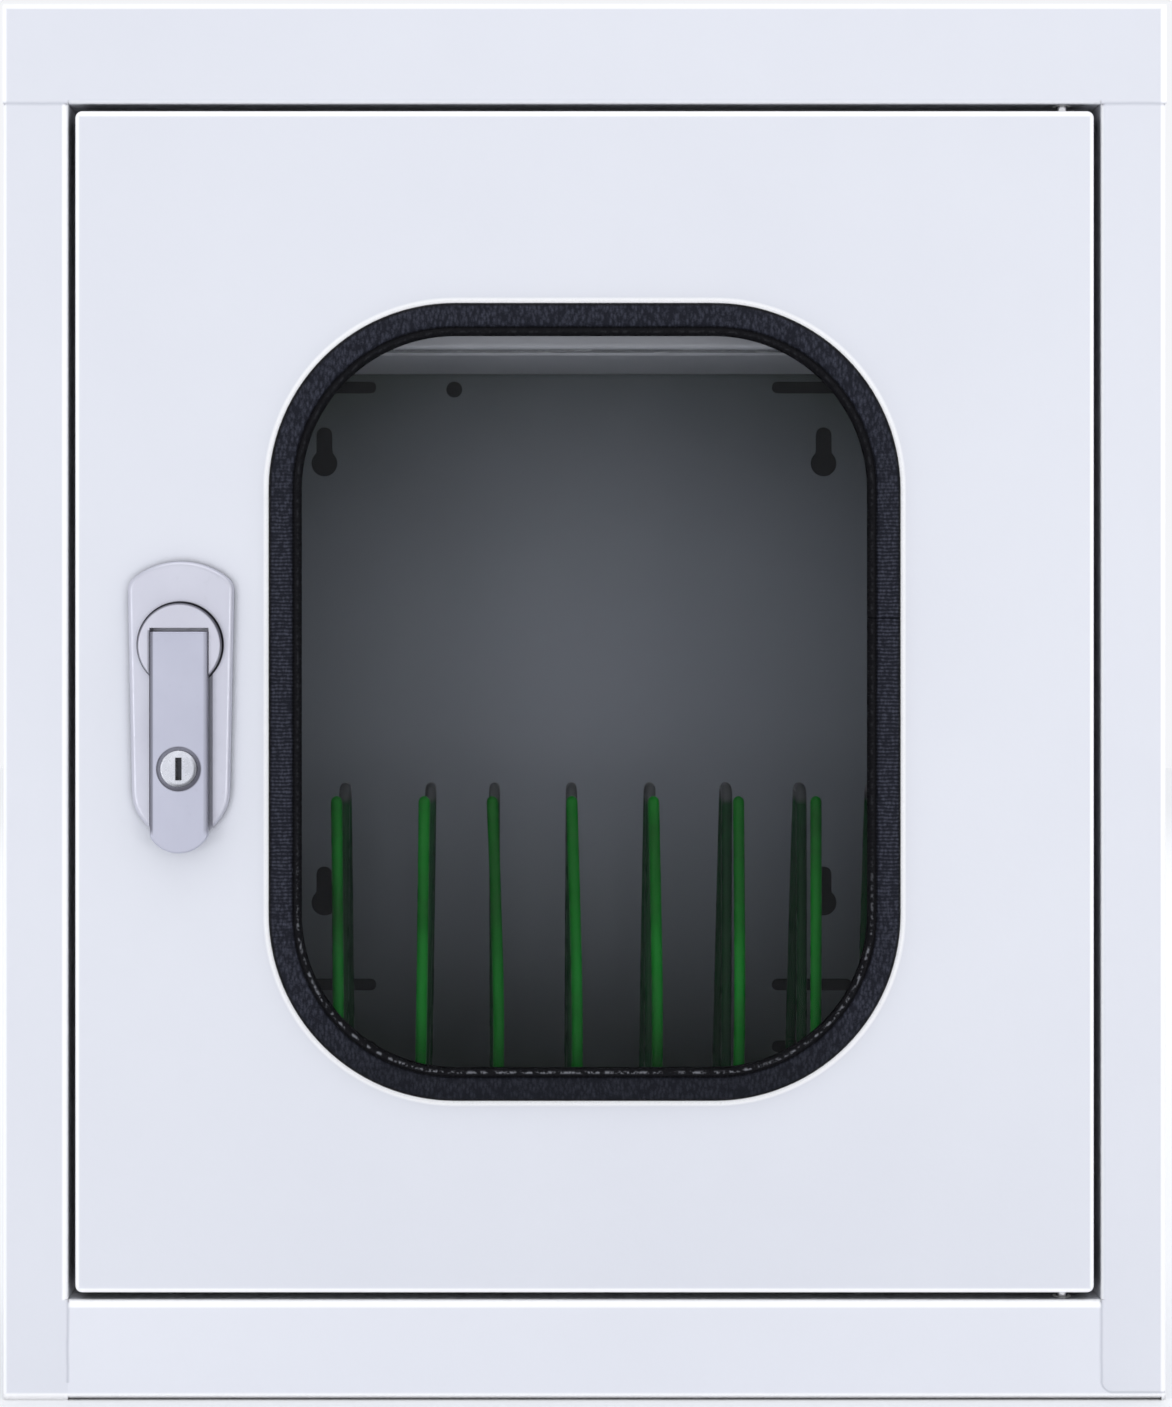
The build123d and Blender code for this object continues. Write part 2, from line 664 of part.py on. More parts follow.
# ---------------------------------------------------------------- mains inlet and switch
inlet_plane = Plane(origin=(SIDE, INLET_Y, SERVICE_Z), x_dir=(0, 1, 0), z_dir=(1, 0, 0))
flange_x = (INNER_SIDE - BEZEL, INNER_SIDE)
with BuildPart() as power_inlet:
    block((inlet_back, SIDE), inlet_y, inlet_z)
    flange_y = (INLET_Y - INLET_FLANGE_Y, INLET_Y + INLET_FLANGE_Y)
    flange_z = (SERVICE_Z - INLET_FLANGE_Z, SERVICE_Z + INLET_FLANGE_Z)
    block(flange_x, flange_y, flange_z)
    with BuildSketch(inlet_plane):
        RectangleRounded(2 * (INLET_HALF_Y - INLET_WALL), 2 * (INLET_HALF_Z - INLET_WALL), 2.5)
    extrude(amount=-INLET_CAVITY, mode=Mode.SUBTRACT)
    for side in (-1, 1):
        screw_y = INLET_Y + side * INLET_SCREW_SHIFT
        hole_in = (INNER_SIDE - 2 * BEZEL, screw_y, SERVICE_Z)
        hole_out = (INNER_SIDE + SHEET, screw_y, SERVICE_Z)
        rod(hole_in, hole_out, INLET_SCREW_R, mode=Mode.SUBTRACT)
write_part(power_inlet, "power_inlet")

with BuildPart() as inlet_pins:
    foot_x = SIDE - INLET_CAVITY
    for shift_y, shift_z in CONTACTS:
        with Locations((foot_x + CONTACT_LENGTH / 2, INLET_Y + shift_y, SERVICE_Z + shift_z)):
            Box(CONTACT_LENGTH, 2.0, 4.0)
write_part(inlet_pins, "inlet_pins")

with BuildPart() as inlet_screws:
    for side in (-1, 1):
        screw_y = INLET_Y + side * INLET_SCREW_SHIFT
        seat_plane = Plane(origin=(SIDE, screw_y, SERVICE_Z), x_dir=(0, 1, 0), z_dir=(-1, 0, 0))
        with BuildSketch(seat_plane):
            Circle(INLET_SCREW_HEAD_R)
        extrude(amount=SHEET, taper=45)
        shank_root = (SIDE - SHEET, screw_y, SERVICE_Z)
        shank_tip = (SIDE - 8.0, screw_y, SERVICE_Z)
        rod(shank_root, shank_tip, INLET_SCREW_R)
write_part(inlet_screws, "inlet_screws")

ROCKER_PIVOT_X = SIDE - 7.0
with BuildPart() as switch_body:
    block((switch_back, SIDE), switch_y, switch_z)
    bezel_y = (SWITCH_Y - SWITCH_HALF_Y - BEZEL, SWITCH_Y + SWITCH_HALF_Y + BEZEL)
    bezel_z = (SERVICE_Z - SWITCH_HALF_Z - BEZEL, SERVICE_Z + SWITCH_HALF_Z + BEZEL)
    block(flange_x, bezel_y, bezel_z)
    well_half_y = ROCKER_HALF_Y + ROCKER_CLEAR
    well_half_z = ROCKER_HALF_Z + ROCKER_CLEAR
    well_y = (SWITCH_Y - well_half_y, SWITCH_Y + well_half_y)
    well_z = (SERVICE_Z - well_half_z, SERVICE_Z + well_half_z)
    block((SIDE - SWITCH_WELL, SIDE + SHEET), well_y, well_z, mode=Mode.SUBTRACT)
    hole_half = ROCKER_HALF_Z + ROCKER_PIN_END + 0.1
    hole_low = (ROCKER_PIVOT_X, SWITCH_Y, SERVICE_Z - hole_half)
    hole_high = (ROCKER_PIVOT_X, SWITCH_Y, SERVICE_Z + hole_half)
    rod(hole_low, hole_high, ROCKER_PIN_R + PIN_RUN, mode=Mode.SUBTRACT)
write_part(switch_body, "switch_body")

with BuildPart() as switch_rocker:
    with BuildSketch(Plane.XY.offset(SERVICE_Z - ROCKER_HALF_Z)):
        with BuildLine():
            tilt = math.radians(ROCKER_TILT)
            pivot = (ROCKER_PIVOT_X, SWITCH_Y)
            reach = ROCKER_HALF_Y - ROCKER_DISH
            heel_x, heel_half = ROCKER_HEEL
            outer = [
                (heel_x, -heel_half),
                (ROCKER_CREST, -reach),
                (ROCKER_CREST - ROCKER_DISH, 0.0),
                (ROCKER_CREST, reach),
                (heel_x, heel_half),
            ]
            spots = [
                (
                    pivot[0] + u * math.cos(tilt) - v * math.sin(tilt),
                    pivot[1] + u * math.sin(tilt) + v * math.cos(tilt),
                )
                for u, v in outer
            ]
            Polyline(*spots, close=True)
        make_face()
    extrude(amount=2 * ROCKER_HALF_Z)
    pin_half = ROCKER_HALF_Z + ROCKER_PIN_END
    pin_low = (ROCKER_PIVOT_X, SWITCH_Y, SERVICE_Z - pin_half)
    pin_high = (ROCKER_PIVOT_X, SWITCH_Y, SERVICE_Z + pin_half)
    rod(pin_low, pin_high, ROCKER_PIN_R)
write_part(switch_rocker, "switch_rocker")

# ---------------------------------------------------------------- tool rack
RUNNER_Z = SHEET + RACK_ROD
RAIL_Z = RUNNER_Z + 2 * RACK_ROD
STAND_Z = RAIL_Z + RACK_ROD
RACK_HALF = RACK_PITCH * (RACK_COUNT - 1) / 2
RUNNER_SPREAD = RACK_HALF - RACK_PITCH / 2
rack_stations = [RACK_MID - RACK_HALF + RACK_PITCH * i for i in range(RACK_COUNT)]

with BuildPart() as rack_runners:
    for runner_x in (RACK_MID - RUNNER_SPREAD, RACK_MID, RACK_MID + RUNNER_SPREAD):
        runner_front = (runner_x, RACK_FRONT_Y - RUNNER_OVERHANG, RUNNER_Z)
        runner_rear = (runner_x, ARCH_LEG_REAR + 2 * RUNNER_OVERHANG, RUNNER_Z)
        rod(runner_front, runner_rear, RACK_ROD)
write_part(rack_runners, "rack_runners")

with BuildPart() as rack_rails:
    for rail_y in (RACK_FRONT_Y, ARCH_LEG_FRONT, ARCH_LEG_REAR):
        rail_left = (RACK_MID - RACK_HALF - RAIL_OVERHANG, rail_y, RAIL_Z)
        rail_right = (RACK_MID + RACK_HALF + RAIL_OVERHANG, rail_y, RAIL_Z)
        rod(rail_left, rail_right, RACK_ROD)
write_part(rack_rails, "rack_rails")

with BuildPart() as rack_uprights:
    for station in rack_stations:
        rod((station, RACK_FRONT_Y, STAND_Z), (station, RACK_FRONT_Y, RACK_TOP), RACK_WIRE)
    fillet(rack_uprights.edges().filter_by(GeomType.CIRCLE).group_by(Axis.Z)[-1], 0.8 * RACK_WIRE)
write_part(rack_uprights, "rack_uprights")

with BuildPart() as rack_arches:
    for station in rack_stations:
        with BuildLine(Plane(origin=(station, 0, 0), x_dir=(0, 1, 0), z_dir=(1, 0, 0))) as arch:
            FilletPolyline(
                (ARCH_LEG_FRONT, STAND_Z),
                (ARCH_CROWN_Y - ARCH_CROWN_R, RACK_TOP - RACK_WIRE),
                (ARCH_CROWN_Y + ARCH_CROWN_R, RACK_TOP - RACK_WIRE),
                (ARCH_LEG_REAR, STAND_Z),
                radius=0.8 * ARCH_CROWN_R,
            )
        with BuildSketch(Plane(origin=arch.line @ 0, z_dir=arch.line % 0)) as section:
            Circle(RACK_WIRE)
        sweep(section.sketch, path=arch.line)
    block((-SIDE, SIDE), (FRONT, BACK), (0, STAND_Z), mode=Mode.SUBTRACT)
write_part(rack_arches, "rack_arches")

# ---------------------------------------------------------------- hinges
pin_inner_top = DOOR_TOP - SHEET - BLOCK_HEIGHT
pin_inner_low = DOOR_LOW + SHEET + BLOCK_HEIGHT
with BuildPart() as hinge_pins:
    for inner, outer in ((pin_inner_top, OPENING_TOP + PIN_REACH), (pin_inner_low, RAIL - PIN_REACH)):
        rod((HINGE_X, HINGE_Y, inner), (HINGE_X, HINGE_Y, outer), PIN_R)
write_part(hinge_pins, "hinge_pins")

with BuildPart() as hinge_bushes:
    for base, up in ((OPENING_TOP, 1), (RAIL, -1)):
        seat = base + up * SHEET
        mouth = (HINGE_X, HINGE_Y, base)
        bore_end = (HINGE_X, HINGE_Y, base + up * (PIN_REACH + PIN_END_CLEAR))
        rod(mouth, (HINGE_X, HINGE_Y, base + up * BUSH_LENGTH), BUSH_R)
        rod((HINGE_X, HINGE_Y, seat), (HINGE_X, HINGE_Y, seat + up * BUSH_FLANGE), BUSH_FLANGE_R)
        rod(mouth, bore_end, PIN_R + PIN_RUN, mode=Mode.SUBTRACT)
write_part(hinge_bushes, "hinge_bushes")

with BuildPart() as hinge_blocks:
    block_x = (HINGE_X - 4 * PIN_R, DOOR_X - DOOR_CORNER)
    block_y = (SKIN_FRONT, DOOR_BACK - SHEET)
    for low in (DOOR_LOW + SHEET, pin_inner_top):
        block(block_x, block_y, (low, low + BLOCK_HEIGHT))
        hole_low = (HINGE_X, HINGE_Y, low - SHEET)
        hole_high = (HINGE_X, HINGE_Y, low + BLOCK_HEIGHT + SHEET)
        rod(hole_low, hole_high, PIN_R, mode=Mode.SUBTRACT)
write_part(hinge_blocks, "hinge_blocks")


# ---------------------------------------------------------------- door
def window_outline(inset):
    """Rounded window outline, this far inside the outer edge of its seal."""
    RectangleRounded(WINDOW_X - 2 * inset, WINDOW_Z - 2 * inset, WINDOW_R - inset)


with BuildPart() as door_panel:
    with BuildSketch(front_plate(FRONT)):
        with Locations((0, DOOR_MID)):
            RectangleRounded(2 * DOOR_X, DOOR_TOP - DOOR_LOW, DOOR_CORNER)
    extrude(amount=-DOOR_THICK)
    fillet(door_panel.faces().sort_by(Axis.Y)[0].edges(), DOOR_FOLD)
    with BuildSketch(front_plate(SKIN_FRONT)):
        with Locations((0, DOOR_MID)):
            RectangleRounded(
                2 * (DOOR_X - SHEET),
                DOOR_TOP - DOOR_LOW - 2 * SHEET,
                DOOR_CORNER - SHEET,
            )
    extrude(amount=-(DOOR_THICK - 2 * SHEET), mode=Mode.SUBTRACT)
    back_opening_x = (-DOOR_X + DOOR_RETURN, DOOR_X - DOOR_HINGE_RETURN)
    back_opening_z = (DOOR_LOW + DOOR_RETURN, DOOR_TOP - DOOR_RETURN)
    block(back_opening_x, (SKIN_FRONT, DOOR_BACK + SHEET), back_opening_z, mode=Mode.SUBTRACT)
    with BuildSketch(front_plate(SKIN_FRONT)):
        with Locations((0, WINDOW_MID)):
            window_outline(SEAL_SKIN_BITE)
        with Locations((LOCK_X, ROTOR_Z)):
            Circle(BOSS_R + BOSS_CLEAR)
        with Locations((LOCK_X, STUD_Z)):
            Circle(STUD_R + BOSS_CLEAR)
    extrude(amount=2 * SHEET, mode=Mode.SUBTRACT)
    rod((HINGE_X, HINGE_Y, 0), (HINGE_X, HINGE_Y, HEIGHT), PIN_R, mode=Mode.SUBTRACT)
write_part(door_panel, "door_panel")

with BuildPart() as door_gasket:
    gasket_x = (-DOOR_X + GASKET_INSET, HINGE_X - BUSH_FLANGE_R + 0.5)
    gasket_z = (DOOR_LOW + GASKET_INSET, DOOR_TOP - GASKET_INSET)
    gasket_y = (DOOR_BACK, LIP_FRONT - GASKET_CLEAR)
    block(gasket_x, gasket_y, gasket_z)
    block(
        (gasket_x[0] + GASKET_WIDTH, gasket_x[1] - GASKET_WIDTH),
        gasket_y,
        (gasket_z[0] + GASKET_WIDTH, gasket_z[1] - GASKET_WIDTH),
        mode=Mode.SUBTRACT,
    )
    fillet(door_gasket.edges().filter_by(Axis.Y), 2.0)
    fillet(door_gasket.faces().sort_by(Axis.Y)[-1].edges(), 2.0)
write_part(door_gasket, "door_gasket")

with BuildPart() as window_seal:
    with BuildSketch(front_plate(SEAL_FRONT)):
        with Locations((0, WINDOW_MID)):
            window_outline(0)
    extrude(amount=SEAL_FRONT - SEAL_REAR)
    with BuildSketch(front_plate(SEAL_FRONT)):
        with Locations((0, WINDOW_MID)):
            window_outline(SEAL_WIDTH)
    extrude(amount=SEAL_FRONT - SEAL_REAR, mode=Mode.SUBTRACT)
    fillet(window_seal.faces().sort_by(Axis.Y)[0].edges(), 1.5)
    with BuildSketch(front_plate(GLASS_FRONT)):
        with Locations((0, WINDOW_MID)):
            window_outline(SEAL_WIDTH - SEAL_GLASS_BITE)
    extrude(amount=-GLASS_THICK, mode=Mode.SUBTRACT)
    with BuildSketch(front_plate(FRONT)):
        with Locations((0, WINDOW_MID)):
            window_outline(-SHEET)
            with Locations((0, 0)):
                RectangleRounded(
                    WINDOW_X - 2 * SEAL_SKIN_BITE,
                    WINDOW_Z - 2 * SEAL_SKIN_BITE,
                    WINDOW_R - SEAL_SKIN_BITE,
                    mode=Mode.SUBTRACT,
                )
    extrude(amount=-SHEET, mode=Mode.SUBTRACT)
write_part(window_seal, "window_seal")

with BuildPart() as window_glass:
    with BuildSketch(front_plate(GLASS_FRONT)):
        with Locations((0, WINDOW_MID)):
            window_outline(SEAL_WIDTH - SEAL_GLASS_BITE)
    extrude(amount=-GLASS_THICK)
write_part(window_glass, "window_glass")

with BuildPart() as door_magnet:
    block(sensor_x, (SKIN_FRONT, DOOR_BACK), sensor_z)
    fillet(door_magnet.edges().filter_by(Axis.Y), SENSOR_FILLET)
write_part(door_magnet, "door_magnet")

# ---------------------------------------------------------------- lock housing
with BuildPart() as lock_housing:
    with BuildSketch(front_plate(FRONT)) as outline:
        with BuildLine():
            left_top = (LOCK_X - PLATE_HALF_TOP, PLATE_SHOULDER)
            right_top = (LOCK_X + PLATE_HALF_TOP, PLATE_SHOULDER)
            left_low = (LOCK_X - PLATE_HALF_LOW, PLATE_WAIST)
            right_low = (LOCK_X + PLATE_HALF_LOW, PLATE_WAIST)
            Line(left_low, left_top)
            ThreePointArc(left_top, (LOCK_X, PLATE_TOP), right_top)
            Line(right_top, right_low)
            ThreePointArc(right_low, (LOCK_X, PLATE_LOW), left_low)
        make_face()
        fillet(outline.vertices().group_by(Axis.Y)[-1], 7.0)
    extrude(amount=PLATE_THICK)
    fillet(lock_housing.faces().sort_by(Axis.Y)[0].edges(), 2.0)
    boss_front = (LOCK_X, FRONT, ROTOR_Z)
    rod(boss_front, (LOCK_X, BOSS_BACK, ROTOR_Z), BOSS_R)
    bore_front = (LOCK_X, PLATE_FRONT - SHEET, ROTOR_Z)
    bore_back = (LOCK_X, ROTOR_BACK + BOSS_CLEAR, ROTOR_Z)
    rod(bore_front, bore_back, ROTOR_BORE, mode=Mode.SUBTRACT)
    shaft_end = (LOCK_X, BOSS_BACK + SHEET, ROTOR_Z)
    rod(boss_front, shaft_end, SHAFT_R + SHAFT_RUN, mode=Mode.SUBTRACT)
    tray_x = (LOCK_X - LEVER_HALF - TRAY_CLEAR[0], LOCK_X + LEVER_HALF + TRAY_CLEAR[1])
    tray_y = (PLATE_FRONT - SHEET, PLATE_FRONT + TRAY_DEPTH)
    block(tray_x, tray_y, (PLATE_LOW - LEVER_HALF, ROTOR_Z), mode=Mode.SUBTRACT)
    rod((LOCK_X, FRONT, STUD_Z), (LOCK_X, FRONT + STUD_LENGTH, STUD_Z), STUD_R)
write_part(lock_housing, "lock_housing")

hex_nuts = (
    ("lock_nut", ROTOR_Z, LOCK_NUT_HALF, BOSS_R, LOCK_NUT_THICK),
    ("stud_nut", STUD_Z, STUD_NUT_HALF, STUD_R, STUD_NUT_THICK),
)
for nut_label, nut_z, nut_half, nut_bore, nut_thick in hex_nuts:
    with BuildPart() as nut:
        with BuildSketch(front_plate(SKIN_FRONT)):
            with Locations((LOCK_X, nut_z)):
                RegularPolygon(nut_half, 6, major_radius=False)
                Circle(nut_bore, mode=Mode.SUBTRACT)
        extrude(amount=-nut_thick)
    write_part(nut, nut_label)

# ---------------------------------------------------------------- rotor, cam and their fixings
lever_pin_left = (LOCK_X - LEVER_PIN_HALF, *LEVER_PIN)
lever_pin_right = (LOCK_X + LEVER_PIN_HALF, *LEVER_PIN)
cam_mid = (LOCK_X, CAM_BACK, ROTOR_Z)
cam_screw_tip = (LOCK_X, CAM_BACK - CAM_SCREW_BITE, ROTOR_Z)
with BuildPart() as lock_rotor:
    rod((LOCK_X, ROTOR_FRONT, ROTOR_Z), (LOCK_X, ROTOR_BACK, ROTOR_Z), ROTOR_R)
    fillet(lock_rotor.edges().filter_by(GeomType.CIRCLE).group_by(Axis.Y)[0], 1.0)
    rod((LOCK_X, ROTOR_BACK, ROTOR_Z), (LOCK_X, BOSS_BACK, ROTOR_Z), SHAFT_R)
    half = SQUARE / 2
    block((LOCK_X - half, LOCK_X + half), (BOSS_BACK, CAM_BACK), (ROTOR_Z - half, ROTOR_Z + half))
    pocket_x = (LOCK_X - POCKET_HALF, LOCK_X + POCKET_HALF)
    pocket_y = (ROTOR_FRONT - SHEET, POCKET_FLOOR)
    pocket_z = (ROTOR_Z - ROTOR_R - SHEET, POCKET_TOP)
    block(pocket_x, pocket_y, pocket_z, mode=Mode.SUBTRACT)
    rod(lever_pin_left, lever_pin_right, LEVER_PIN_R, mode=Mode.SUBTRACT)
    rod(cam_screw_tip, cam_mid, CAM_SCREW_R, mode=Mode.SUBTRACT)
write_part(lock_rotor, "lock_rotor")

with BuildPart() as cam_sleeve:
    with BuildSketch(front_plate(BOSS_BACK)):
        with Locations((LOCK_X, ROTOR_Z)):
            Circle(SHAFT_R)
            Rectangle(SQUARE, SQUARE, mode=Mode.SUBTRACT)
    extrude(amount=BOSS_BACK - CAM_FRONT)
write_part(cam_sleeve, "cam_sleeve")

with BuildPart() as latch_cam:
    with BuildSketch(front_plate(CAM_FRONT)):
        with Locations((LOCK_X, ROTOR_Z)):
            Circle(CAM_HUB_R)
        with Locations((LOCK_X, ROTOR_Z + CAM_REACH / 2)):
            Rectangle(2 * CAM_HALF, CAM_REACH)
        with Locations((LOCK_X, ROTOR_Z)):
            Rectangle(SQUARE, SQUARE, mode=Mode.SUBTRACT)
    extrude(amount=-CAM_THICK)
    fillet(latch_cam.edges().filter_by(Axis.Y).group_by(Axis.Z)[-1], 3.0)
write_part(latch_cam, "latch_cam")

with BuildPart() as cam_washer:
    with BuildSketch(front_plate(CAM_BACK)):
        with Locations((LOCK_X, ROTOR_Z)):
            Circle(CAM_WASHER_R)
            Circle(CAM_SCREW_R, mode=Mode.SUBTRACT)
    extrude(amount=-CAM_WASHER)
write_part(cam_washer, "cam_washer")

HEAD_SEAT = CAM_BACK + CAM_WASHER
HEAD_BACK = HEAD_SEAT + CAM_SCREW_HEAD
with BuildPart() as cam_screw:
    head_centre = (LOCK_X, HEAD_SEAT, ROTOR_Z)
    rod(head_centre, (LOCK_X, HEAD_BACK, ROTOR_Z), CAM_SCREW_HEAD_R)
    rod(cam_screw_tip, head_centre, CAM_SCREW_R)
    with BuildSketch(front_plate(HEAD_BACK)):
        with Locations((LOCK_X, ROTOR_Z)):
            RegularPolygon(CAM_SCREW_KEY, 6, major_radius=False)
    extrude(amount=CAM_SCREW_KEY, mode=Mode.SUBTRACT)
write_part(cam_screw, "cam_screw")

# ---------------------------------------------------------------- lever and key
LEVER_SHOULDER = LEVER_LOW + 7.0
with BuildPart() as lever:
    with BuildSketch(front_plate(LEVER_BACK)) as blade:
        with BuildLine():
            left_low = (LOCK_X - LEVER_HALF, LEVER_SHOULDER)
            right_low = (LOCK_X + LEVER_HALF, LEVER_SHOULDER)
            top_left = (LOCK_X - LEVER_HALF, LEVER_TOP)
            top_right = (LOCK_X + LEVER_HALF, LEVER_TOP)
            Polyline(left_low, top_left, top_right, right_low)
            ThreePointArc(right_low, (LOCK_X, LEVER_LOW), left_low)
        make_face()
        fillet(blade.vertices().group_by(Axis.Y)[0], 4.0)
    extrude(amount=LEVER_BACK - LEVER_FRONT)
    fillet(lever.faces().sort_by(Axis.Y)[0].edges(), 0.9)
    rod(lever_pin_left, lever_pin_right, LEVER_PIN_R + PIN_RUN, mode=Mode.SUBTRACT)
    recess_front = (LOCK_X, LEVER_FRONT - SHEET, KEY_Z)
    recess_floor = (LOCK_X, LEVER_FRONT + KEY_RECESS, KEY_Z)
    rod(recess_front, recess_floor, KEY_RECESS_R, mode=Mode.SUBTRACT)
    shank_end = (LOCK_X, LEVER_BACK + SHEET, KEY_Z)
    rod(recess_floor, shank_end, KEY_SHANK_R + PIN_RUN, mode=Mode.SUBTRACT)
write_part(lever, "lever")

with BuildPart() as lever_pin:
    rod(lever_pin_left, lever_pin_right, LEVER_PIN_R)
write_part(lever_pin, "lever_pin")

with BuildPart() as key_plug:
    head_front = (LOCK_X, LEVER_FRONT - KEY_CLEAR, KEY_Z)
    head_back = (LOCK_X, LEVER_FRONT + KEY_RECESS - KEY_CLEAR, KEY_Z)
    rod(head_front, head_back, KEY_HEAD_R)
    fillet(key_plug.edges().filter_by(GeomType.CIRCLE).group_by(Axis.Y)[0], 0.5)
    rod(head_back, (LOCK_X, LEVER_BACK - KEY_CLEAR, KEY_Z), KEY_SHANK_R)
    slot_x = (LOCK_X - KEY_SLOT_HALF_X, LOCK_X + KEY_SLOT_HALF_X)
    slot_y = (LEVER_FRONT - SHEET, LEVER_FRONT + KEY_SLOT_DEPTH)
    slot_z = (KEY_Z - KEY_SLOT_HALF_Z, KEY_Z + KEY_SLOT_HALF_Z)
    block(slot_x, slot_y, slot_z, mode=Mode.SUBTRACT)
write_part(key_plug, "key_plug")
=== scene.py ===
"""Finished look of the ultraviolet sterilizer cabinet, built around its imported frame.

Metres, in the frame's own axes: +Z up, the door faces -Y, the hinge side is +X.
"""

import json
import math

import bmesh
import bpy
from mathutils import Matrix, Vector


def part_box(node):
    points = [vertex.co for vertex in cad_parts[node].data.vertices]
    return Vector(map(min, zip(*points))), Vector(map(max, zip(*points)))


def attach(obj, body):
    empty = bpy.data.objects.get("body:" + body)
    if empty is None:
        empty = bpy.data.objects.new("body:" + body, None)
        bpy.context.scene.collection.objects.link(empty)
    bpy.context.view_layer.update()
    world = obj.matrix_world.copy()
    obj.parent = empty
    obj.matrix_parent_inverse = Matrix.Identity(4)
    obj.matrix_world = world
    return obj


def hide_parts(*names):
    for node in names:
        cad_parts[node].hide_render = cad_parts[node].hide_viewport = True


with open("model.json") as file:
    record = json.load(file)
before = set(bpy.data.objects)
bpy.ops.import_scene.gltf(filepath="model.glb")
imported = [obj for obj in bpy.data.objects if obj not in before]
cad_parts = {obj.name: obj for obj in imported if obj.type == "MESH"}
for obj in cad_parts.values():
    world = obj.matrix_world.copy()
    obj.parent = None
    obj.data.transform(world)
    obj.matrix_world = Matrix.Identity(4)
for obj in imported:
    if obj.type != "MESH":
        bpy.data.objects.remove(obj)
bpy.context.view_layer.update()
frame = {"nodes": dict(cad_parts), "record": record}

nodes = frame["nodes"]
MM = 0.001

# ------------------------------------------------------------------ places, read from the frame
door_low, door_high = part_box("door_panel")
shell_low, shell_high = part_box("rear_panel")
seal_low, seal_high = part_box("window_seal")
gasket_low, gasket_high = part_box("door_gasket")
rail_low, rail_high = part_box("rack_rails")
upright_low, upright_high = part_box("rack_uprights")
arch_low, arch_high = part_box("rack_arches")
runner_low, runner_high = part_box("rack_runners")
lever_low, lever_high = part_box("lever")
plug_low, plug_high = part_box("key_plug")
rotor_low, rotor_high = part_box("lock_rotor")
FACE_Y = door_low[1]
INNER_Y = shell_high[1] - 0.6 * MM  # just inside the rear sheet's outer face
SEAL_RADIUS = 80.0 * MM  # outer corner radius of the window rubber, as in the CAD model
SEAL_LOW_CORNER, SEAL_HIGH_CORNER = seal_low[2] + SEAL_RADIUS, seal_high[2] - SEAL_RADIUS
DOOR_GAP = 3.0 * MM  # between the door and the frame round it, as in the CAD model

LOCK_X = (rotor_low[0] + rotor_high[0]) / 2
LOCK_Z = (rotor_low[2] + rotor_high[2]) / 2
ROTOR_R = (rotor_high[2] - rotor_low[2]) / 2
KEY_X = (plug_low[0] + plug_high[0]) / 2
KEY_Z = (plug_low[2] + plug_high[2]) / 2
KEY_R = (plug_high[0] - plug_low[0]) / 2

# ------------------------------------------------------------------ colours, linear
WHITE = (0.722, 0.736, 0.792)
WHITE_SHADE = (0.700, 0.714, 0.772)
# painted light: the bottom rail's white, made lighter to offset the shade near the floor
LOW_PAINTED_LIGHT_WHITE = (0.765, 0.778, 0.835)
LOW_PAINTED_LIGHT_WHITE_SHADE = (0.745, 0.758, 0.815)
# painted highlight colour for the lines along folded edges
FOLD_HIGHLIGHT = (0.985, 0.985, 1.0)
SEAM_GREY = (0.42, 0.43, 0.50)
# painted shade colours for the dark of gaps and crevices
GAP_SHADE_BLACK = (0.004, 0.004, 0.005)
METAL_GAP_SHADE = (0.02, 0.02, 0.02)
# painted shade colour for the shadow lines round the lock's parts
LOCK_SHADE = (0.075, 0.073, 0.100)
LOCK_GAP_SHADE = (0.09, 0.09, 0.12)

CLOUDS = (0.3, 0.7)  # a noise value seldom leaves this range


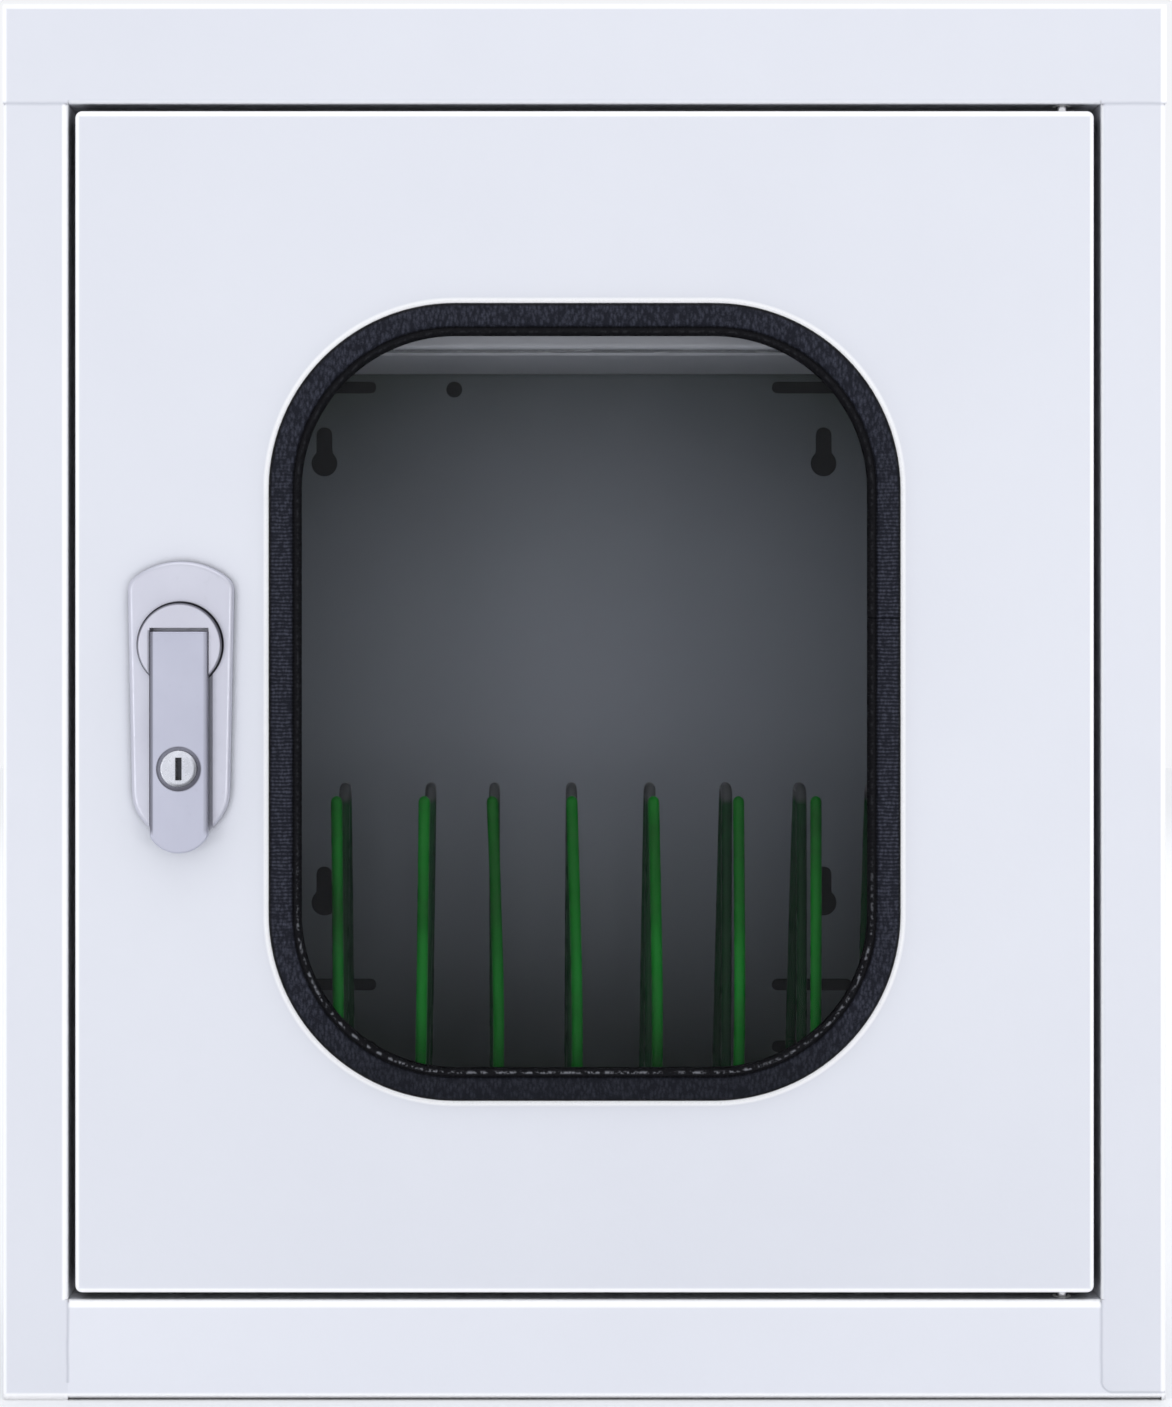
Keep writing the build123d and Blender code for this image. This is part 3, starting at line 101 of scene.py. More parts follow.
# ------------------------------------------------------------------ shader building
class Shader:
    """One procedural material on the Principled shader, textured in the frame's own metres."""

    def __init__(self, name, **sockets):
        self.material = bpy.data.materials.new(name)
        self.material.use_nodes = True
        self.tree = self.material.node_tree
        self.bsdf = self.tree.nodes["Principled BSDF"]
        for socket, value in sockets.items():
            self.bsdf.inputs[socket.replace("_", " ")].default_value = value
        self.place = self.tree.nodes.new("ShaderNodeTexCoord").outputs["Object"]

    def node(self, kind, settings=None, **sockets):
        made = self.tree.nodes.new(kind)
        for name, value in (settings or {}).items():
            setattr(made, name, value)
        for socket, value in sockets.items():
            self.feed(made.inputs[socket.replace("_", " ")], value)
        return made

    def feed(self, socket, value):
        if isinstance(value, bpy.types.NodeSocket):
            self.tree.links.new(value, socket)
        else:
            socket.default_value = value

    def mapped(self, **settings):
        return self.node("ShaderNodeMapping", Vector=self.place, **settings).outputs["Vector"]

    def noise(self, scale, detail=3.0, rough=0.55, stretch=(1, 1, 1)):
        """Cloudy value from 0 to 1; scale is in features per metre."""
        where = self.mapped(Scale=stretch)
        made = self.node(
            "ShaderNodeTexNoise", Vector=where, Scale=scale, Detail=detail, Roughness=rough
        )
        return made.outputs["Fac"]

    def cells(self, scale, where=None):
        """Distance within Voronoi cells; scale is in cells per metre."""
        where = self.mapped() if where is None else where
        return self.node("ShaderNodeTexVoronoi", Vector=where, Scale=scale).outputs["Distance"]

    def remap(self, value, low, high, to_low=0.0, to_high=1.0):
        """Value moved, and held, from the range low to high into the range to_low to to_high."""
        ends = {"From Min": low, "From Max": high, "To Min": to_low, "To Max": to_high}
        made = self.node("ShaderNodeMapRange", Value=value)
        for socket, number in ends.items():
            made.inputs[socket].default_value = number
        return made.outputs["Result"]

    def clouds(self, *noise, to=(0.0, 1.0)):
        """A noise spread over its whole range, for mottled colours."""
        return self.remap(self.noise(*noise), *CLOUDS, *to)

    def math(self, operation, first, second=0.0):
        made = self.node("ShaderNodeMath", {"operation": operation})
        self.feed(made.inputs[0], first)
        self.feed(made.inputs[1], second)
        return made.outputs[0]

    def less(self, first, second):
        """1 where first is under second, else 0."""
        return self.math("LESS_THAN", first, second)

    def times(self, *values):
        """The product of several masks."""
        total = values[0]
        for value in values[1:]:
            total = self.math("MULTIPLY", total, value)
        return total

    def most(self, *values):
        """The largest of several masks."""
        total = values[0]
        for value in values[1:]:
            total = self.math("MAXIMUM", total, value)
        return total

    def axis(self, letter):
        return self.node("ShaderNodeSeparateXYZ", Vector=self.place).outputs[letter]

    def length(self, first, second):
        squares = [self.times(side, side) for side in (first, second)]
        return self.math("SQRT", self.math("ADD", *squares))

    def from_point(self, x, z):
        """Distance in XZ from a point, with the two offsets it is made of."""
        across = self.math("SUBTRACT", self.axis("X"), x)
        up = self.math("SUBTRACT", self.axis("Z"), z)
        return self.length(across, up), across, up

    def outside(self, low, high, radius):
        """Distance in XZ outside a rounded rectangle; negative within it."""
        over = []
        for index, letter in ((0, "X"), (2, "Z")):
            middle = (low[index] + high[index]) / 2
            half = (high[index] - low[index]) / 2 - radius
            apart = self.math("ABSOLUTE", self.math("SUBTRACT", self.axis(letter), middle))
            over.append(self.math("SUBTRACT", apart, half))
        corner = self.length(*[self.most(value, 0.0) for value in over])
        inner = self.math("MINIMUM", self.most(*over), 0.0)
        return self.math("SUBTRACT", self.math("ADD", corner, inner), radius)

    def near(self, value, target, reach):
        """1 where value is at the target, falling to 0 at reach away from it."""
        apart = self.math("ABSOLUTE", self.math("SUBTRACT", value, target))
        return self.remap(apart, 0.0, reach, 1.0, 0.0)

    def band(self, value, start, end, soft):
        """1 between start and end, falling to 0 over soft on both sides."""
        rise = self.remap(value, start - soft, start + soft)
        fall = self.remap(value, end - soft, end + soft, 1.0, 0.0)
        return self.times(rise, fall)

    def front(self, mask, depth):
        """The mask, kept only within depth of the door's face."""
        return self.times(mask, self.less(self.axis("Y"), FACE_Y + depth))

    def blend(self, factor, first, second):
        """The first colour where the factor is 0, the second where it is 1."""
        made = self.node("ShaderNodeMix", {"data_type": "RGBA"})
        self.feed(made.inputs[0], factor)
        self.feed(made.inputs[6], first)
        self.feed(made.inputs[7], second)
        return made.outputs[2]

    def color(self, factor, first, second):
        self.feed(self.bsdf.inputs["Base Color"], self.blend(factor, (*first, 1), (*second, 1)))

    def base(self):
        """What the base colour is now."""
        return self.bsdf.inputs["Base Color"].links[0].from_socket

    def recolor(self, factor, tint):
        """Lay a second colour over whatever the base colour is now."""
        self.feed(self.bsdf.inputs["Base Color"], self.blend(factor, self.base(), (*tint, 1)))

    def roughness(self, factor, low, high):
        self.feed(self.bsdf.inputs["Roughness"], self.remap(factor, *CLOUDS, low, high))

    def crevice_shade(self, reach, tint, low, high):
        """Painted shade: darken the base colour where surfaces close in on each other, within
        reach metres.
        """
        shade = self.node("ShaderNodeAmbientOcclusion", {"samples": 3}, Distance=reach)
        openness = self.remap(shade.outputs["AO"], low, high)
        self.feed(self.bsdf.inputs["Base Color"], self.blend(openness, (*tint, 1), self.base()))

    def bump(self, height, strength, depth):
        """Add relief on top of any relief already there; depth is in metres."""
        made = self.node("ShaderNodeBump", Strength=strength, Distance=depth, Height=height)
        socket = self.bsdf.inputs["Normal"]
        if socket.links:
            self.feed(made.inputs["Normal"], socket.links[0].from_socket)
        self.feed(socket, made.outputs["Normal"])


# ------------------------------------------------------------------ materials
def powder_coat(name, light, shade, fold_highlights=None, seams=False, gap_shade=True):
    """Smooth satin powder coat on sheet steel, with faint orange peel and a few scuffs;
    optionally painted highlights along folded edges, dark seam joints and painted crevice shade.
    """
    paint = Shader(name, Metallic=0.0, IOR=1.5, Coat_Weight=0.12, Coat_Roughness=0.25)
    paint.color(paint.clouds(7.0), light, shade)
    scuffs = paint.remap(paint.noise(160.0, 4.0, 0.7, (1, 1, 0.15)), 0.70, 0.78)
    paint.recolor(paint.times(scuffs, 0.12), tuple(0.72 * c for c in shade))
    paint.roughness(paint.noise(40.0, 4.0), 0.34, 0.44)
    paint.bump(paint.noise(420.0, 2.0, 0.4), 0.10, 0.00035)
    paint.bump(paint.noise(2600.0, 1.0, 0.3), 0.05, 0.00008)
    # painted highlight along the folded edges
    if fold_highlights:
        paint.recolor(paint.times(fold_highlights(paint), 0.95), FOLD_HIGHLIGHT)
    if seams:
        crease = seam_lines(paint)
        paint.recolor(paint.times(crease, 0.55), SEAM_GREY)
        paint.bump(paint.times(crease, -1.0), 0.55, 0.0004)
    # painted shade where surfaces close in on each other
    if gap_shade:
        paint.crevice_shade(5.0 * MM, GAP_SHADE_BLACK, 0.30, 0.62)
    return paint.material


def painted_light_pool_paint(name):
    """White coat outside; inside, grey with a painted pool of light, brightest in the window's
    middle.
    """
    middle_x, middle_z = 0.012, 0.290
    reach_x, reach_z = 0.215, 0.160
    bright, grey = (0.415, 0.445, 0.515, 1), (0.072, 0.090, 0.085, 1)
    paint = Shader(name, Metallic=0.0, IOR=1.5)
    paint.color(paint.clouds(7.0), WHITE, WHITE_SHADE)
    # painted light: a pool of light round the window's middle, painted shade darkening towards
    # the inside's edges
    across = paint.math("DIVIDE", paint.math("SUBTRACT", paint.axis("X"), middle_x), reach_x)
    up = paint.math("DIVIDE", paint.math("SUBTRACT", paint.axis("Z"), middle_z), reach_z)
    away = paint.math("ADD", paint.length(across, up), paint.clouds(14.0, to=(-0.03, 0.03)))
    middle = paint.remap(paint.times(away, away), 0.0, 1.35, 1.0, 0.0)
    painted_light_pool = paint.blend(middle, grey, bright)
    inside = paint.less(paint.axis("Y"), INNER_Y)
    paint.feed(paint.bsdf.inputs["Base Color"], paint.blend(inside, paint.base(), painted_light_pool))
    paint.roughness(paint.noise(40.0, 4.0), 0.38, 0.50)
    paint.bump(paint.noise(420.0, 2.0, 0.4), 0.10, 0.00035)
    paint.crevice_shade(4.0 * MM, GAP_SHADE_BLACK, 0.20, 0.50)
    return paint.material


FOLD_SOFT = 0.45 * MM


def door_fold_highlights(paint):
    """Painted highlight lines along the door's folded edges and round the window rubber."""
    side = paint.math("ABSOLUTE", paint.axis("X"))
    height = paint.axis("Z")
    line = 2.2 * MM
    right, top, foot = door_high[0], door_high[2], door_low[2]
    rim = paint.outside(seal_low, seal_high, SEAL_RADIUS)
    lines = [
        paint.band(side, right - 0.8 * line, right + line, FOLD_SOFT),
        paint.band(height, top - 1.1 * line, top + line, FOLD_SOFT),
        paint.band(height, foot - line, foot + 0.9 * line, FOLD_SOFT),
        paint.band(rim, -1.0 * MM, 2.1 * MM, 0.5 * MM),
    ]
    return paint.front(paint.most(*lines), 1.2 * MM)


def shell_fold_highlights(paint):
    """The same painted highlight lines on the frame's inner and outer folded edges."""
    x, height = paint.axis("X"), paint.axis("Z")
    opening = door_high[0] + DOOR_GAP
    sill_z, head_z = door_low[2] - DOOR_GAP, door_high[2] + DOOR_GAP
    in_opening = paint.less(paint.math("ABSOLUTE", x), opening)
    between = paint.band(height, sill_z, head_z, FOLD_SOFT)

    def line(value, start, end):
        return paint.band(value, start * MM, end * MM, FOLD_SOFT)

    def beyond(value, edge):
        return paint.math("SUBTRACT", value, edge)

    lines = [
        paint.times(line(beyond(x, -opening), -2.4, 0.2), between),
        paint.times(line(beyond(x, opening), 0.0, 0.8), between),
        paint.times(line(beyond(height, sill_z), -3.2, 0.5), in_opening),
        paint.times(line(beyond(height, head_z), -0.5, 1.2), in_opening, 0.5),
        line(height, -1.0, 3.0),
        line(beyond(height, shell_high[2]), -2.2, 1.0),
        line(beyond(x, shell_high[0]), -2.4, 1.0),
        line(beyond(x, shell_low[0]), -1.0, 1.6),
    ]
    return paint.front(paint.most(*lines), 1.8 * MM)


def seam_lines(paint):
    """Paint-filled butt joints between the rails and the stiles."""
    side = paint.math("ABSOLUTE", paint.axis("X"))
    height = paint.axis("Z")
    stile_edge = door_high[0] + DOOR_GAP
    top_edge = door_high[2] + DOOR_GAP
    low_edge = door_low[2] - DOOR_GAP
    wobble = paint.clouds(60.0, 2.0, to=(-0.15 * MM, 0.15 * MM))
    across = paint.near(paint.math("ADD", height, wobble), top_edge, 1.1 * MM)
    across = paint.times(across, paint.math("GREATER_THAN", side, stile_edge))
    upright = paint.near(paint.math("ADD", side, wobble), stile_edge, 0.9 * MM)
    above_foot = paint.math("GREATER_THAN", height, 7.5 * MM)
    upright = paint.times(upright, paint.less(height, low_edge), above_foot)

    # the rail's strip under the right stile, and the bend where the joint turns along it
    bend_radius, strip = 5.0 * MM, 3.3 * MM
    bend_x, bend_z = stile_edge + bend_radius, strip + bend_radius
    past_bend = paint.math("GREATER_THAN", paint.axis("X"), bend_x)
    foot = paint.times(paint.near(height, strip, 0.7 * MM), past_bend)
    away, from_x, from_z = paint.from_point(bend_x, bend_z)
    quarter = paint.times(paint.less(from_x, 0.0), paint.less(from_z, 0.0))
    bend = paint.times(paint.near(away, bend_radius, 0.7 * MM), quarter)
    return paint.front(paint.most(across, upright, foot, bend), 1.0 * MM)


def satin_zinc(name, light, shade, painted_shade, grain=(1, 1, 1)):
    """Satin pearl-silver finish on die-cast zinc, with painted shade in and beside its joints."""
    metal = Shader(name, Metallic=0.55, IOR=1.6, Coat_Weight=0.25, Coat_Roughness=0.30)
    metal.color(metal.clouds(30.0), light, shade)
    noise_patches = metal.remap(metal.noise(240.0, 4.0, 0.65), 0.62, 0.74)
    metal.recolor(metal.times(noise_patches, 0.18), tuple(0.75 * c for c in shade))
    metal.roughness(metal.noise(320.0, 3.0, 0.6, grain), 0.30, 0.44)
    metal.bump(metal.noise(1800.0, 2.0, 0.5, grain), 0.12, 0.00006)
    # painted shade and shadow lines round the lock's parts
    metal.recolor(painted_shade(metal), LOCK_SHADE)
    metal.crevice_shade(2.2 * MM, LOCK_GAP_SHADE, 0.28, 0.72)
    return metal.material


def rotor_joint_shade(metal):
    """Painted shade in the ring-shaped joint round the rotor, most of it over the top."""
    away, across, up = metal.from_point(LOCK_X, LOCK_Z)
    ring = metal.remap(metal.near(away, ROTOR_R + 0.1 * MM, 1.1 * MM), 0.1, 0.6)
    over_top = metal.math("ADD", up, metal.times(across, 0.15))
    upper = metal.remap(over_top, -16.0 * MM, 6.0 * MM, 0.25, 1.0)
    return metal.times(ring, upper, 0.92)


def rotor_shade(metal):
    """Painted shade on the rotor: its joint, and the crack between it and the lever's left side.
    """
    crack = metal.near(metal.axis("X"), lever_low[0] - 0.5 * MM, 1.0 * MM)
    beside_lever = metal.less(metal.axis("Z"), lever_high[2] + 0.6 * MM)
    return metal.most(metal.times(crack, beside_lever, 0.75), rotor_joint_shade(metal))


def plate_shade(metal):
    """Painted shade on the plate: the rotor's joint, and a painted grey shadow to the right of
    the lever.
    """
    x = metal.axis("X")
    past_lever = metal.math("SUBTRACT", x, lever_high[0])
    haze = metal.remap(past_lever, -0.3 * MM, 3.6 * MM, 0.38, 0.0)
    haze = metal.times(haze, metal.math("GREATER_THAN", x, LOCK_X))
    left = metal.near(x, lever_low[0] - 0.2 * MM, 0.9 * MM)
    rotor_foot = LOCK_Z - ROTOR_R
    below = metal.remap(metal.axis("Z"), rotor_foot + 3.0 * MM, rotor_foot + 7.0 * MM, 1.0, 0.0)
    sides = metal.most(haze, metal.times(left, 0.6))
    return metal.most(metal.times(sides, below), rotor_joint_shade(metal))


def lever_shade(metal):
    """Painted shade on the lever: dark at its left edge, greyer at its right, and round the
    barrel.
    """
    x = metal.axis("X")
    from_left = metal.math("SUBTRACT", x, lever_low[0])
    from_right = metal.math("SUBTRACT", lever_high[0], x)
    left = metal.remap(from_left, 1.0 * MM, 1.6 * MM, 0.80, 0.0)
    right = metal.remap(from_right, 0.6 * MM, 2.0 * MM, 0.50, 0.0)
    straight = metal.remap(metal.axis("Z"), lever_low[2] + 7.5 * MM, lever_low[2] + 10.0 * MM)
    return metal.most(metal.times(metal.most(left, right), straight), key_ring_shade(metal))


def key_ring_shade(metal):
    """Painted shadow round the key barrel, most of it low and to the right."""
    away, across, up = metal.from_point(KEY_X, KEY_Z)
    ring = metal.remap(metal.near(away, KEY_R + 0.9 * MM, 1.4 * MM), 0.1, 0.7)
    lower = metal.remap(metal.math("SUBTRACT", across, up), -3.0 * MM, 9.0 * MM, 0.45, 1.0)
    return metal.times(ring, lower, 0.9)


def ground_finish(steel, low, high):
    """Roughness, fine relief and painted crevice shade of ground or plated metal."""
    steel.roughness(steel.noise(500.0, 3.0, 0.6), low, high)
    steel.bump(steel.noise(2400.0, 2.0, 0.5), 0.10, 0.00004)
    steel.crevice_shade(2.0 * MM, METAL_GAP_SHADE, 0.30, 0.80)


def key_metal(name):
    """Polished barrel face, with painted shade inside its slot and a painted shadow on the lower
    right rim.
    """
    steel = Shader(name, Metallic=0.7, IOR=1.8)
    steel.color(steel.clouds(90.0, 4.0), (0.57, 0.58, 0.63), (0.69, 0.70, 0.75))
    away, across, up = steel.from_point(KEY_X, KEY_Z)
    rim = steel.band(away, KEY_R - 1.3 * MM, KEY_R + 1.0 * MM, 0.4 * MM)
    lower_right = steel.remap(steel.math("SUBTRACT", across, up), 0.0, 7.0 * MM)
    rim = steel.times(rim, lower_right, 0.75)
    wide = steel.remap(steel.math("ABSOLUTE", across), 1.1 * MM, 1.6 * MM, 1.0, 0.0)
    tall = steel.remap(steel.math("ABSOLUTE", up), 4.6 * MM, 5.0 * MM, 1.0, 0.0)
    # painted shade in the keyway slot, painted shadow on the lower right rim
    steel.recolor(steel.most(rim, steel.times(wide, tall)), (0.030, 0.032, 0.042))
    ground_finish(steel, 0.20, 0.34)
    return steel.material


def plated_steel(name, light, shade, low, high):
    """Bright plated or ground steel with fine grain and slight tarnish."""
    steel = Shader(name, Metallic=1.0)
    steel.color(steel.clouds(90.0, 4.0), light, shade)
    ground_finish(steel, low, high)
    return steel.material


def moulded(name, light, shade, low, high, relief=0.12):
    """Moulded plastic with a fine spark-eroded texture."""
    plastic = Shader(name, IOR=1.46)
    plastic.color(plastic.clouds(60.0), light, shade)
    plastic.roughness(plastic.noise(200.0), low, high)
    plastic.bump(plastic.cells(1500.0), relief, 0.00008)
    return plastic.material


def rubber_grain(rubber):
    """Leather grain with short ribs across the upright runs; low on the pebbles' crowns."""
    slant = rubber.mapped(Rotation=(0, math.radians(38), 0), Scale=(1, 0.5, 0.45))
    pebble = rubber.cells(760.0, slant)
    leather = rubber.math("ADD", pebble, rubber.times(rubber.cells(1500.0), 0.5))
    wave = rubber.node(
        "ShaderNodeTexWave",
        {"bands_direction": "Z"},
        Vector=rubber.place,
        Scale=200.0,
        Distortion=2.2,
        Detail=2.0,
    ).outputs["Fac"]
    upright = rubber.band(rubber.axis("Z"), SEAL_LOW_CORNER, SEAL_HIGH_CORNER, 25.0 * MM)
    ribs = rubber.times(rubber.math("SUBTRACT", wave, 0.5), rubber.times(upright, 0.75))
    return rubber.math("SUBTRACT", leather, ribs)


def grained_rubber(name):
    """Black glazing rubber: grained with a painted sheen on the pebbles' crowns, blackest at both
    edges and below, with a painted highlight along its inner lip.
    """
    rubber = Shader(name, IOR=1.45, Specular_IOR_Level=0.14)
    grain = rubber_grain(rubber)
    crown = rubber.remap(grain, 0.15, 0.95, 1.0, 0.0)
    # grain tone with a painted sheen: the pebbles' crowns lighter
    rubber.color(crown, (0.009, 0.010, 0.016), (0.040, 0.043, 0.062))
    height = rubber.axis("Z")
    low_run = rubber.remap(height, seal_low[2] + 12.0 * MM, seal_low[2] + 40.0 * MM, 0.55, 0.0)
    rubber.recolor(low_run, (0.004, 0.005, 0.008))
    inset = rubber.times(rubber.outside(seal_low, seal_high, SEAL_RADIUS), -1.0)
    outline = rubber.remap(inset, 0.9 * MM, 1.8 * MM, 1.0, 0.0)
    inner = rubber.remap(inset, 9.9 * MM, 10.7 * MM)
    rubber.recolor(rubber.most(outline, inner), (0.0025, 0.0025, 0.004))
    # painted highlight: light grey dashes along the inner lip, most of them round the low corners
    noise_patches = rubber.remap(rubber.noise(380.0, 3.0, 0.7), 0.50, 0.58)
    low_corner = rubber.math("SUBTRACT", height, SEAL_LOW_CORNER)
    most_low = rubber.remap(low_corner, -20.0 * MM, 30.0 * MM, 0.50, 0.04)
    lip = rubber.times(rubber.near(inset, 12.6 * MM, 0.8 * MM), noise_patches, most_low)
    rubber.recolor(lip, (0.34, 0.35, 0.39))
    rubber.feed(rubber.bsdf.inputs["Roughness"], rubber.remap(crown, 0.0, 1.0, 0.75, 0.45))
    rubber.bump(rubber.times(grain, -1.0), 0.55, 0.00040)
    rubber.bump(rubber.noise(90.0, 2.0), 0.15, 0.0006)
    return rubber.material


def smooth_rubber(name):
    rubber = Shader(name, IOR=1.5)
    rubber.color(rubber.noise(200.0), (0.012, 0.012, 0.014), (0.030, 0.030, 0.034))
    rubber.roughness(rubber.noise(300.0, 3.0, 0.6, (0.1, 1, 0.1)), 0.50, 0.66)
    rubber.bump(rubber.noise(900.0, 2.0), 0.12, 0.0001)
    return rubber.material


def smoked_glass(name):
    """Grey tinted pane: what is behind shows through, dimmed by the tint."""
    glass = Shader(name, IOR=1.5, Alpha=0.18, Specular_IOR_Level=0.25)
    haze = glass.remap(glass.noise(9.0), 0.35, 0.7)
    glass.color(haze, (0.008, 0.009, 0.010), (0.012, 0.013, 0.016))
    glass.roughness(glass.noise(25.0, 4.0), 0.02, 0.05)
    glass.bump(glass.noise(6.0, 1.0), 0.04, 0.0004)
    return glass.material


def clear_glass(name):
    glass = Shader(name, IOR=1.46, Alpha=0.28)
    glass.color(glass.noise(30.0), (0.72, 0.76, 0.80), (0.80, 0.84, 0.88))
    glass.roughness(glass.noise(40.0), 0.03, 0.10)
    glass.bump(glass.noise(20.0, 2.0), 0.05, 0.0003)
    return glass.material


def dipped_green(name, light, shade, glint_above=None):
    """Green plastic dip-coated over steel wire, a little uneven where it ran; with a height
    given, a painted grey reflection on the crowns above it, else a painted highlight band part
    way up.
    """
    coat = Shader(name, IOR=1.5, Specular_IOR_Level=0.08, Coat_Weight=0.05, Coat_Roughness=0.10)
    coat.color(coat.remap(coat.noise(22.0, 3.0, 0.55, (1, 1, 0.7)), 0.36, 0.62), shade, light)
    if glint_above:
        # painted reflection: grey on the hairpins' crowns
        crown = coat.remap(coat.axis("Z"), glint_above, glint_above + 3.0 * MM)
        coat.recolor(crown, (0.10, 0.105, 0.11))
    else:
        # painted highlight: a lighter band part way up the front wires
        highlight_band = coat.band(coat.axis("Z"), 0.160, 0.188, 18.0 * MM)
        patchy = coat.remap(coat.noise(60.0, 2.0, 0.5, (1, 1, 0.3)), 0.35, 0.65, 0.15, 0.75)
        coat.recolor(coat.times(highlight_band, patchy), (0.006, 0.420, 0.035))
    coat.roughness(coat.noise(120.0), 0.22, 0.36)
    coat.bump(coat.noise(160.0, 2.0, 0.5, (1, 1, 0.35)), 0.20, 0.0005)
    coat.bump(coat.noise(900.0, 2.0), 0.05, 0.0001)
    return coat.material


def brushed_aluminium(name, grain):
    metal = Shader(name, Metallic=1.0)
    metal.color(metal.noise(70.0), (0.80, 0.81, 0.83), (0.88, 0.89, 0.90))
    metal.roughness(metal.noise(700.0, 3.0, 0.6, grain), 0.16, 0.32)
    metal.bump(metal.noise(1600.0, 2.0, 0.5, grain), 0.10, 0.00005)
    return metal.material


# slot: (maker, then what it is given after the name)
FINISHES = {
    "paint_white": (powder_coat, WHITE, WHITE_SHADE),
    "zinc_steel": (plated_steel, (0.60, 0.60, 0.58), (0.70, 0.69, 0.64), 0.24, 0.42),
    "screw_steel": (plated_steel, (0.62, 0.62, 0.61), (0.72, 0.72, 0.70), 0.18, 0.34),
    "bright_steel": (plated_steel, (0.80, 0.80, 0.82), (0.90, 0.90, 0.92), 0.12, 0.26),
    "lock_satin": (satin_zinc, (0.605, 0.607, 0.685), (0.560, 0.562, 0.640), plate_shade),
    "reflector_aluminium": (brushed_aluminium, (0.04, 1, 1)),
    "cap_aluminium": (brushed_aluminium, (1, 0.2, 0.2)),
    "quartz_glass": (clear_glass,),
    "tinted_glass": (smoked_glass,),
    "white_plastic": (moulded, (0.80, 0.80, 0.77), (0.74, 0.74, 0.70), 0.38, 0.52),
    "black_plastic": (moulded, (0.020, 0.020, 0.022), (0.034, 0.034, 0.037), 0.42, 0.60),
    "rocker_plastic": (moulded, (0.42, 0.02, 0.018), (0.50, 0.03, 0.024), 0.16, 0.28, 0.04),
    "terminal_plastic": (moulded, (0.70, 0.69, 0.63), (0.62, 0.61, 0.55), 0.40, 0.55),
    "wire_insulation": (moulded, (0.05, 0.05, 0.055), (0.09, 0.09, 0.10), 0.34, 0.50, 0.05),
    "ballast_enamel": (powder_coat, (0.60, 0.60, 0.57), (0.54, 0.54, 0.51)),
    "starter_shell": (moulded, (0.72, 0.72, 0.70), (0.66, 0.66, 0.63), 0.30, 0.46, 0.05),
    "pin_brass": (plated_steel, (0.72, 0.62, 0.38), (0.80, 0.71, 0.48), 0.16, 0.32),
    "green_coating": (dipped_green, (0.0015, 0.235, 0.013), (0.0003, 0.105, 0.004)),
    "bush_nylon": (moulded, (0.82, 0.82, 0.79), (0.76, 0.76, 0.73), 0.34, 0.48, 0.05),
    "gasket_rubber": (smooth_rubber,),
    "seal_rubber": (grained_rubber,),
}
materials = {slot: maker(slot, *given) for slot, (maker, *given) in FINISHES.items()}
# painted shade: a darker copy of the green coating for the hairpins set back in the cabinet
shaded_hairpin_green = dipped_green(
    "green_arches_shaded", (0.004, 0.060, 0.014), (0.002, 0.036, 0.008), arch_high[2] - 9.0 * MM
)
framed_paint = powder_coat("paint_frame", WHITE, WHITE_SHADE, shell_fold_highlights, seams=True)
# painted light: a lighter copy of the frame's paint for the bottom rail
low_painted_light = powder_coat("paint_low_painted_light", LOW_PAINTED_LIGHT_WHITE, LOW_PAINTED_LIGHT_WHITE_SHADE, shell_fold_highlights, seams=True)

for entry in frame["record"]["subparts"]:
    mesh = nodes[entry["node"]].data
    mesh.materials.clear()
    mesh.materials.append(materials[entry["material_slot"]])

# pieces whose own finish differs from their slot's
own_finish = {
    "top_panel": framed_paint,
    "left_side_panel": framed_paint,
    "right_side_panel": framed_paint,
    "bottom_panel": low_painted_light,
    "door_panel": powder_coat("paint_door", WHITE, WHITE_SHADE, door_fold_highlights),
    "lamp_housing": powder_coat("paint_housing", WHITE, WHITE_SHADE, gap_shade=False),
    "rear_panel": painted_light_pool_paint("paint_rear_light_pool"),
    "key_plug": key_metal("key_metal"),
    "lock_rotor": satin_zinc(
        "lock_rotor_satin", (0.590, 0.588, 0.665), (0.545, 0.543, 0.620), rotor_shade
    ),
    "lever": satin_zinc(
        "lock_lever_satin", (0.490, 0.497, 0.592), (0.450, 0.457, 0.552), lever_shade, (1, 1, 0.06)
    ),
}
for name, finish in own_finish.items():
    nodes[name].data.materials[0] = finish


# ------------------------------------------------------------------ mesh helpers
def place_object(name, data):
    made = bpy.data.objects.new(name, data)
    bpy.context.scene.collection.objects.link(made)
    return made


def piece(name, mesh, body, slot, replaces, material=None, smooth_angle=35.0):
    """Put a finished mesh in the scene as a piece of the cabinet."""
    made = place_object(name, mesh)
    mesh.materials.clear()
    mesh.materials.append(material or materials[slot])
    mesh.shade_smooth()
    mesh.set_sharp_from_angle(angle=math.radians(smooth_angle))
    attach(made, body)
    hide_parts(*replaces)


def grid_mesh(name, rings):
    """Skin over rings of points; every ring is closed, and so is the run of rings."""
    count = len(rings[0])
    points = [point for ring in rings for point in ring]
    faces = []
    for i in range(len(rings)):
        here, there = i * count, ((i + 1) % len(rings)) * count
        for j in range(count):
            k = (j + 1) % count
            faces.append((here + j, here + k, there + k, there + j))
    mesh = bpy.data.meshes.new(name)
    mesh.from_pydata(points, [], faces)
    tidy = bmesh.new()
    tidy.from_mesh(mesh)
    bmesh.ops.recalc_face_normals(tidy, faces=tidy.faces)
    tidy.to_mesh(mesh)
    tidy.free()
    return mesh


